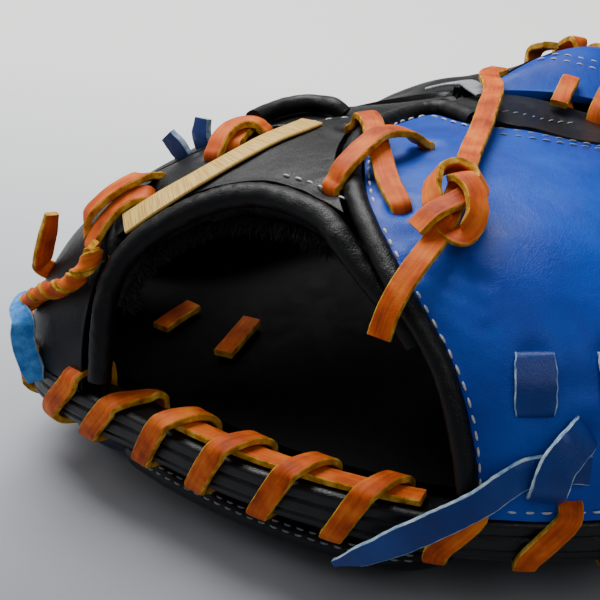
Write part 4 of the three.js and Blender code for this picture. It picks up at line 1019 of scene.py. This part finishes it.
gold_line = [(238.1, 0.285), (241.2, 0.337), (244.6, 0.406), (246, 0.473), (245.8, 0.54), (245.4, 0.597),
             (244.2, 0.63)]
gold_bar = flat_lace("gold_bar", laid([(*p, 0.95) for p in gold_line]), 8.0, 1.0, [gold_thread, gold_thread],
                     0.6, 0.015)
settle(gold_bar, "thread", "gold_bar")

band_places = [(176, 0.88, 1.6), (179, 0.93, 2.2), (190, 0.972, 2.6), (240, 0.982, 2.8), (285, 0.966, 2.6),
               (302, 0.94, 1.6)]
knuckle_band = flat_lace("knuckle_band", laid(band_places), 7.0, 1.0, [grey_satin, grey_satin], 0.7, 0.03)
settle(knuckle_band, "thread")

# Lacing round the rim
WEB_FROM, WEB_TO = 24, 73
OPENING_FROM, OPENING_TO = 240, 289
RUNNING_FROM, RUNNING_TO = 251, 286
LACE_CLEAR = 0.55 + LACE_THICK / 2
LACE_HOLE = 4.4
rim_at = lambda az, inset, z: rim_place(az, inset, z)[0]


def rim_stations():
    stations = []
    slot = EDGE_WIDTH + SLOT / 2

    def put(az, inset, z, outward, upward, width):
        way = rim_normal(az)[0] * outward + np.array((0, 0, upward))
        stations.append((rim_at(az, inset, z), way, width))

    azimuths = [STITCH_START + k * 360 / STITCHES for k in range(-18, STITCHES)]
    under = EDGE_FOOT - LACE_CLEAR - 0.3
    turn_under = EDGE_ROUND * 0.3 - LACE_CLEAR * 0.8
    for az in reversed([a for a in azimuths if WEB_TO + 5 < a < 360 + WEB_FROM - 4]):
        open_here = OPENING_FROM < az < OPENING_TO
        slant = math.degrees((HEEL_SLANT if open_here else STITCH_SLANT) / rim_values(az)[0][0])
        shares = (0.1, 0.34, 0.45, 0.86, 1, 1.06, 1.08) if open_here else (0, 0, 0.04, 0.94, 1, 1, 1)
        over, shoulder, front, foot, turn, below, last = (az - slant * share for share in shares)
        put(az, slot + 0.3, EDGE_FOOT + 2, -1, 0, 0.85)
        if open_here:
            top = EDGE_TOP + LACE_CLEAR + (LACE_THICK + 0.4 if RUNNING_FROM < az < RUNNING_TO else 0)
            put(az, slot, EDGE_TOP - 2, -1, 0.2, 0.85)
            put(az, slot - 0.9, EDGE_TOP + LACE_CLEAR, -0.7, 0.7, 0.95)
            put(over, (EDGE_WIDTH + LACE_WIDTH) / 2 + 0.6, top, -0.2, 1, 1)
        else:
            top = EDGE_TOP + GAP + LACE_HOLE
            put(az, slot, top - 2, -1, 0.2, 0.85)
            put(az, slot - 1, top, -0.7, 0.7, 0.9)
        put(shoulder, -0.4, top, 0.5, 0.8, 1.02)
        put(front, -LACE_CLEAR, top - 2.5, 1, 0.1, 1.05)
        put(foot, -LACE_CLEAR, EDGE_FOOT + EDGE_ROUND * 0.7, 1, -0.1, 1.0)
        put(turn, turn_under, EDGE_FOOT + turn_under, 0.7, -0.7, 0.95)
        put(below, EDGE_ROUND + 0.6, under, 0, -1, 0.9)
        put(last, EDGE_WIDTH + 1.5, under, -0.5, -0.8, 0.85)
    return stations


rim_lacing = flat_lace("rim_lacing", rim_stations(), LACE_WIDTH, LACE_THICK, lace_materials, 0.9, 0.025, 12.0)
settle(rim_lacing, "orange_lace", "rim_lacing")
running_az = np.arange(RUNNING_FROM + 1, RUNNING_TO, 3.0)
running = [(rim_at(az, EDGE_WIDTH / 2, EDGE_TOP + LACE_CLEAR - 0.05), np.array((0, 0, 1.0)), 1.0) for az in running_az]
heel_running_lace = flat_lace("heel_running_lace", running, LACE_WIDTH, LACE_THICK, lace_materials, 1.0, 0.03, 14.0)
settle(heel_running_lace, "orange_lace", "heel_running_lace")

# Lacing of the web
WEB_LACE_DROP = 2


def web_stations(near_side, far_side, count):
    stations = []
    under = -(BACK_WALL + WEB_LACE_DROP + LACE_THICK / 2)
    for k in range(count):
        share = (k + 0.5) / count
        near, far, after = near_side(share), far_side(share + 0.25 / count), near_side(min(share + 1 / count, 1))
        for a, b, sign in ((near, far, 1), (far, after, -1)):
            if sign < 0 and k == count - 1:
                continue
            way = unit(spot(*b) - spot(*a))
            for (az, climb), turn in ((a, -1), (b, 1)):
                lift = LAID + 1.4 if sign > 0 else under
                stations.append((spot(az, climb, lift), way_at(az, climb) * sign + way * turn, 1.0))
    return stations


def side(azimuths, climb_from, climb_by):
    return lambda s: (float(through(azimuths, np.array([s]))[0]), climb_from - climb_by * s)


thumb_web = web_stations(side([352, 372, 377.5, 379.6, 381], 0.86, 0.50), side([395, 391, 388, 387, 386.5], 0.86, 0.50), 6)
finger_web = web_stations(side([66, 70, 71, 71.4], 0.84, 0.62), side([82, 79, 78.4, 78], 0.84, 0.62), 6)
for name, stations in (("web_thumb_lacing", thumb_web), ("web_finger_lacing", finger_web)):
    lacing = flat_lace(name, stations, WEB_LACE_WIDTH, LACE_THICK, lace_materials, 0.9, 0.03, 15.0)
    settle(lacing, "orange_lace", name)

# Cross laces, woven laces, keeper and lace ends
cross_laces = {
    "strap_lace_under": [(254.8, 0.66, LAID), (258.5, 0.658, 5.2), (262.6, 0.64, 6.2), (267.2, 0.602, 5.4),
                         (271.9, 0.545, 3.6), (275.8, 0.485, 2.2), (279, 0.442, LAID)],
    "strap_lace_over": [(267.2, 0.457, LAID), (268.2, 0.478, 4.6), (269, 0.503, 6.4), (269.6, 0.536, 7.4),
                        (270.4, 0.568, 8), (272.4, 0.598, 7.2), (274.6, 0.624, 4.8), (277, 0.652, LAID)],
    "middle_lace_under": [(241, 0.492, LAID), (238.8, 0.52, 1.9), (236.4, 0.545, 1.9), (233.4, 0.567, LAID)],
    "middle_lace_over": [(240.6, 0.455, LAID), (239.6, 0.48, 3.4), (238.6, 0.505, 4.8), (238.4, 0.53, 4.9),
                         (239.5, 0.55, 3.6), (240.8, 0.56, LAID)],
    "side_lace_under": [(234.4, 0.225, LAID), (234.6, 0.255, 2.2), (234.8, 0.295, 2.4), (236, 0.328, 2.2),
                        (237.3, 0.345, LAID)],
    "side_lace_over": [(231.2, 0.24, LAID), (232, 0.265, 4.8), (232.7, 0.30, 5.4), (234, 0.335, 5.2),
                       (234.6, 0.36, 4), (233.6, 0.384, LAID)],
}
for k, (name, places) in enumerate(cross_laces.items()):
    lace = flat_lace(name, over_lace(places), LACE_WIDTH, LACE_THICK, lace_materials, 0.7, 0.03, 20.0 + k)
    settle(lace, "orange_lace", name)
blue_strip = [blue_lace_face, blue_lace_edge]
for k, az in enumerate((296.2, 305, 313.6)):
    woven = flat_lace(f"woven_lace_{k + 1}", over_lace([(az, 0.23, 1.2), (az, 0.192, 1.9), (az, 0.154, 1.2)], 1.6),
                      11, 1.6, blue_strip, 0.7, 0.04, 30.0 + k)
    settle(woven, "blue_leather", f"woven_lace_{k + 1}")
keeper_places = [(297.3, 0.037, 3), (297.5, 0.060, 6.2), (298.1, 0.092, 6.8), (299.5, 0.114, 5.6), (301.2, 0.13, 3)]
heel_keeper = flat_lace("heel_keeper", over_lace(keeper_places, 1.8), 9.8, 1.8, blue_strip, 0.7, 0.05, 40.0)
settle(heel_keeper, "blue_leather", "heel_keeper")

STUB_FACE = np.array((-0.35, -0.94, 0))
UPRIGHT_FACE = np.array((0.9, -0.43, 0))
stub_places = {"blue_stub_1": [(227, 0.45, -2), (227, 0.447, 3), (226.5, 0.442, 8)],
               "blue_stub_2": [(229.6, 0.487, -2), (229.6, 0.487, 3), (229.8, 0.50, 8)]}
for name, places in stub_places.items():
    stations = [(spot(*p), STUB_FACE, w) for p, w in zip(places, (1.0, 1.0, 0.8))]
    settle(flat_lace(name, stations, 7.5, 2.0, blue_strip, 0.6, 0.06, 50.0), "blue_leather", name)

tail = [spot(223.5, 0.14, -2), spot(223.5, 0.14, 3), (-103.5, -22.5, 66), (-101.5, -22, 74), (-99.8, -21.5, 81)]
upright = flat_lace("upright_lace_end", [(np.array(at, float), UPRIGHT_FACE, w) for at, w in
                                         zip(tail, (0.9, 0.95, 1, 0.95, 0.7))], LACE_WIDTH, LACE_THICK,
                    lace_materials, 0.7, 0.03, 60.0)
settle(upright, "orange_lace", "upright_lace_end")
twisted_places = [(224.5, 0.075, 3.4), (227.5, 0.105, 3.4), (230, 0.13, 3.4), (232.8, 0.148, 3.4), (235, 0.17, 3.4),
                  (236.7, 0.20, 3.6), (237.4, 0.235, 4)]
twist_rows, twist_far = resample(laid(twisted_places), 1.5)
twist_ahead = unit(np.gradient(twist_rows[:, :3], axis=0))
twist_aside = unit(np.cross(twist_ahead, twist_rows[:, 3:6]))
strands = []
for phase in (0, math.pi):
    turn = (2 * math.pi * twist_far / 17 + phase)[:, None]
    way = twist_rows[:, 3:6] * np.cos(turn) + twist_aside * np.sin(turn)
    stations = [(at, w, 1.0) for at, w in zip(twist_rows[:, :3] + way * 1.3, way)]
    strands.append(flat_lace("strand", stations, 5.0, 1.9, lace_materials, 0.7, 0.03, 65.0))
twisted_lace = joined("twisted_lace", strands)
settle(twisted_lace, "orange_lace", "twisted_lace")
TONGUE_FACE = np.array((0.35, -0.85, 0.2))
hanging = [((-107.4, -31.5, 52.4), (-0.1, -0.6, 0.8), 0.8),
           ((-102.5, -36.9, 50.6), TONGUE_FACE, 1),
           ((-102.2, -38.0, 45.6), TONGUE_FACE, 1),
           ((-100.8, -38.5, 40.7), TONGUE_FACE, 1),
           ((-99.1, -38.8, 36.4), TONGUE_FACE, 1),
           ((-97.7, -39.2, 32.4), TONGUE_FACE, 0.7)]
side_end = [(spot(222.6, 0.08, -2), np.array((0, 0, 1.0)), 0.6), (spot(222.6, 0.08, 2.4), np.array((0, 0, 1.0)), 0.7)]
side_end += [(np.array(at, float), np.array(way, float), w) for at, way, w in hanging]
side_strap_end = flat_lace("side_strap_end", side_end, 7.4, 1.8, [suede_face, blue_lace_edge], 0.7, 0.06, 70.0)
settle(side_strap_end, "suede", "side_strap_end")
inner_laces = {"inner_lace_1": [(244.5, 0.81), (242.6, 0.74), (240.4, 0.67)],
               "inner_lace_2": [(229.6, 0.82), (227.2, 0.77), (224.6, 0.72)]}
for name, places in inner_laces.items():
    stations = []
    for az, share in places:
        z = EDGE_TOP + (LINING_CROWN - EDGE_TOP) * (math.cos(math.pi * share) + 1) / 2 + 2.6
        stations.append((towards_hub(np.array([float(az)]), PALM_INSET, share, z)[0], np.array((0, 0, 1.0)), 1.0))
    settle(flat_lace(name, stations, LACE_WIDTH, LACE_THICK, lace_materials, 0.7, 0.03, 80.0), "orange_lace", name)

# Stitching
WHITE_ROWS = {
    "foot_of_thumb": [(293.5, 0.013), (300, 0.013), (310, 0.013), (322, 0.013), (335, 0.013), (350, 0.013),
                      (366, 0.013), (380, 0.013)],
    "top_of_thumb": [(262, 0.70), (260.4, 0.755), (261.4, 0.79), (264.6, 0.815), (279.5, 0.79), (291, 0.755)],
    "strap_by_roll": [(257, 0.462), (262.4, 0.462), (267.4, 0.451), (270.8, 0.438)],
}
white_rows = [along_back(places, 0.1) for places in WHITE_ROWS.values()]
beside_piping = along_back(list(zip(*sheet_places(thumb_ribs, np.full(15, 0.011), np.linspace(0.05, 0.97, 15)))), 0.15)
thumb_stitches = stitches("thumb_stitches", [beside_piping] + white_rows[:2], white_thread, 2.9, 4.4, 0.8)
settle(thumb_stitches, "thread")
strap_stitches = stitches("strap_stitches", [along_back(WHITE_ROWS["strap_by_roll"], 0.1),
                                             along_back([(248.6, 0.735), (242.6, 0.70), (239.6, 0.64)], 0.1)],
                          white_thread, 2.6, 4.2, 0.7)
settle(strap_stitches, "thread")
web_stitches = stitches("web_stitches", [along_back([(64, 0.84), (60.3, 0.822), (49.2, 0.778), (43.1, 0.722),
                                                     (38, 0.62), (34, 0.46), (31.5, 0.28)], 0.1),
                                         along_back([(64, 0.80), (58, 0.785), (50, 0.745), (45.5, 0.69),
                                                     (41, 0.60), (37, 0.45), (34.5, 0.28)], 0.1)],
                        white_thread, 2.7, 4.2, 0.7)
settle(web_stitches, "thread")
strip_stitches = stitches("strip_stitches", [along_back([(292, 0.88), (304, 0.866), (320, 0.85), (338, 0.82),
                                                         (352, 0.77)], 0.1)], grey_thread, 4.2, 3.2, 0.6, slant=0.9)
settle(strip_stitches, "thread")
double_row = [along_back([(az, climb + by) for az, climb in ((296, 0.762), (306, 0.745), (316, 0.722), (326, 0.69),
                                                             (334, 0.64), (346, 0.575), (361, 0.485))], 0.1)
              for by in (0, -0.03)]
edge_stitches = stitches("edge_stitches", double_row, grey_thread, 2.8, 4.2, 0.7)
settle(edge_stitches, "thread")

heel_stitch_az = slice(8, 89, 4)
heel_stitch_rows = []
for share in (0.30, 0.42):
    places = rim_place(heel_az, *heel_line(share))[heel_stitch_az]
    ways = unit(rim_normal(heel_az)[heel_stitch_az] + np.array((0, 0, 0.1)))
    heel_stitch_rows.append(list(zip(places + ways * 0.1, ways)))
heel_stitches = stitches("heel_stitches", heel_stitch_rows, grey_thread, 2.6, 4.0, 0.7)
settle(heel_stitches, "thread")

# Light, floor and table
def area_light(name, place, aim, size, power, colour=(1, 1, 1)):
    data = bpy.data.lights.new(name, "AREA")
    data.shape = "RECTANGLE"
    data.size, data.size_y = size
    data.energy = power
    data.color = colour
    lamp = bpy.data.objects.new(name, data)
    lamp.location = place
    lamp.rotation_euler = (Vector(aim) - Vector(place)).to_track_quat("-Z", "Y").to_euler()
    bpy.context.collection.objects.link(lamp)


area_light("softbox_above", (-0.5, 0.42, 1.2), (0, 0.02, 0.06), (1.1, 0.8), 30)
area_light("softbox_left", (-1.1, -0.35, 0.8), (0, 0, 0.06), (0.8, 0.7), 2.5)
area_light("softbox_right", (0.8, -0.7, 1.0), (0.05, 0, 0.06), (0.7, 0.6), 3)
world = bpy.data.worlds.new("pale room")
world.use_nodes = True
world.node_tree.nodes["Background"].inputs["Color"].default_value = hex_linear("#dfe2e6")
world.node_tree.nodes["Background"].inputs["Strength"].default_value = 0.2
bpy.context.scene.world = world

# The table's colour is painted shade: dark grey towards the camera, through pale grey, to near white at the back. It
# stands in for the mitt's cast shadow and for the light falling off towards the front.
floor_material, floor_tree, floor_shader, floor_where = new_material("matt pale table with painted shade")
floor_part = add_node(floor_tree, "ShaderNodeSeparateXYZ", links={"Vector": floor_where})
floor_far = add_node(floor_tree, "ShaderNodeMath", {"operation": "MULTIPLY_ADD", 1: 1.0, 2: 0.0},
                     {0: floor_part.outputs["Y"]})
floor_shade = add_node(floor_tree, "ShaderNodeMapRange", {"From Min": -0.18, "From Max": 0.35},
                       {"Value": floor_far.outputs["Value"]})
floor_painted_shade = ramp(floor_tree, floor_shade.outputs["Result"], [(0.0, hex_linear("#6c7078")),
                                                                (0.45, hex_linear("#c6cacf")),
                                                                (1.0, hex_linear("#fbfbf9"))])
floor_tree.links.new(floor_painted_shade.outputs["Color"], floor_shader.inputs["Base Color"])
floor_shader.inputs["Roughness"].default_value = 0.9
only(camera)
bpy.ops.object.select_all(action="DESELECT")
bpy.ops.mesh.primitive_plane_add(size=6, location=(0, 0, -0.0002))
table = bpy.context.object
table.name = table.data.name = "table"
table.data.materials.append(floor_material)
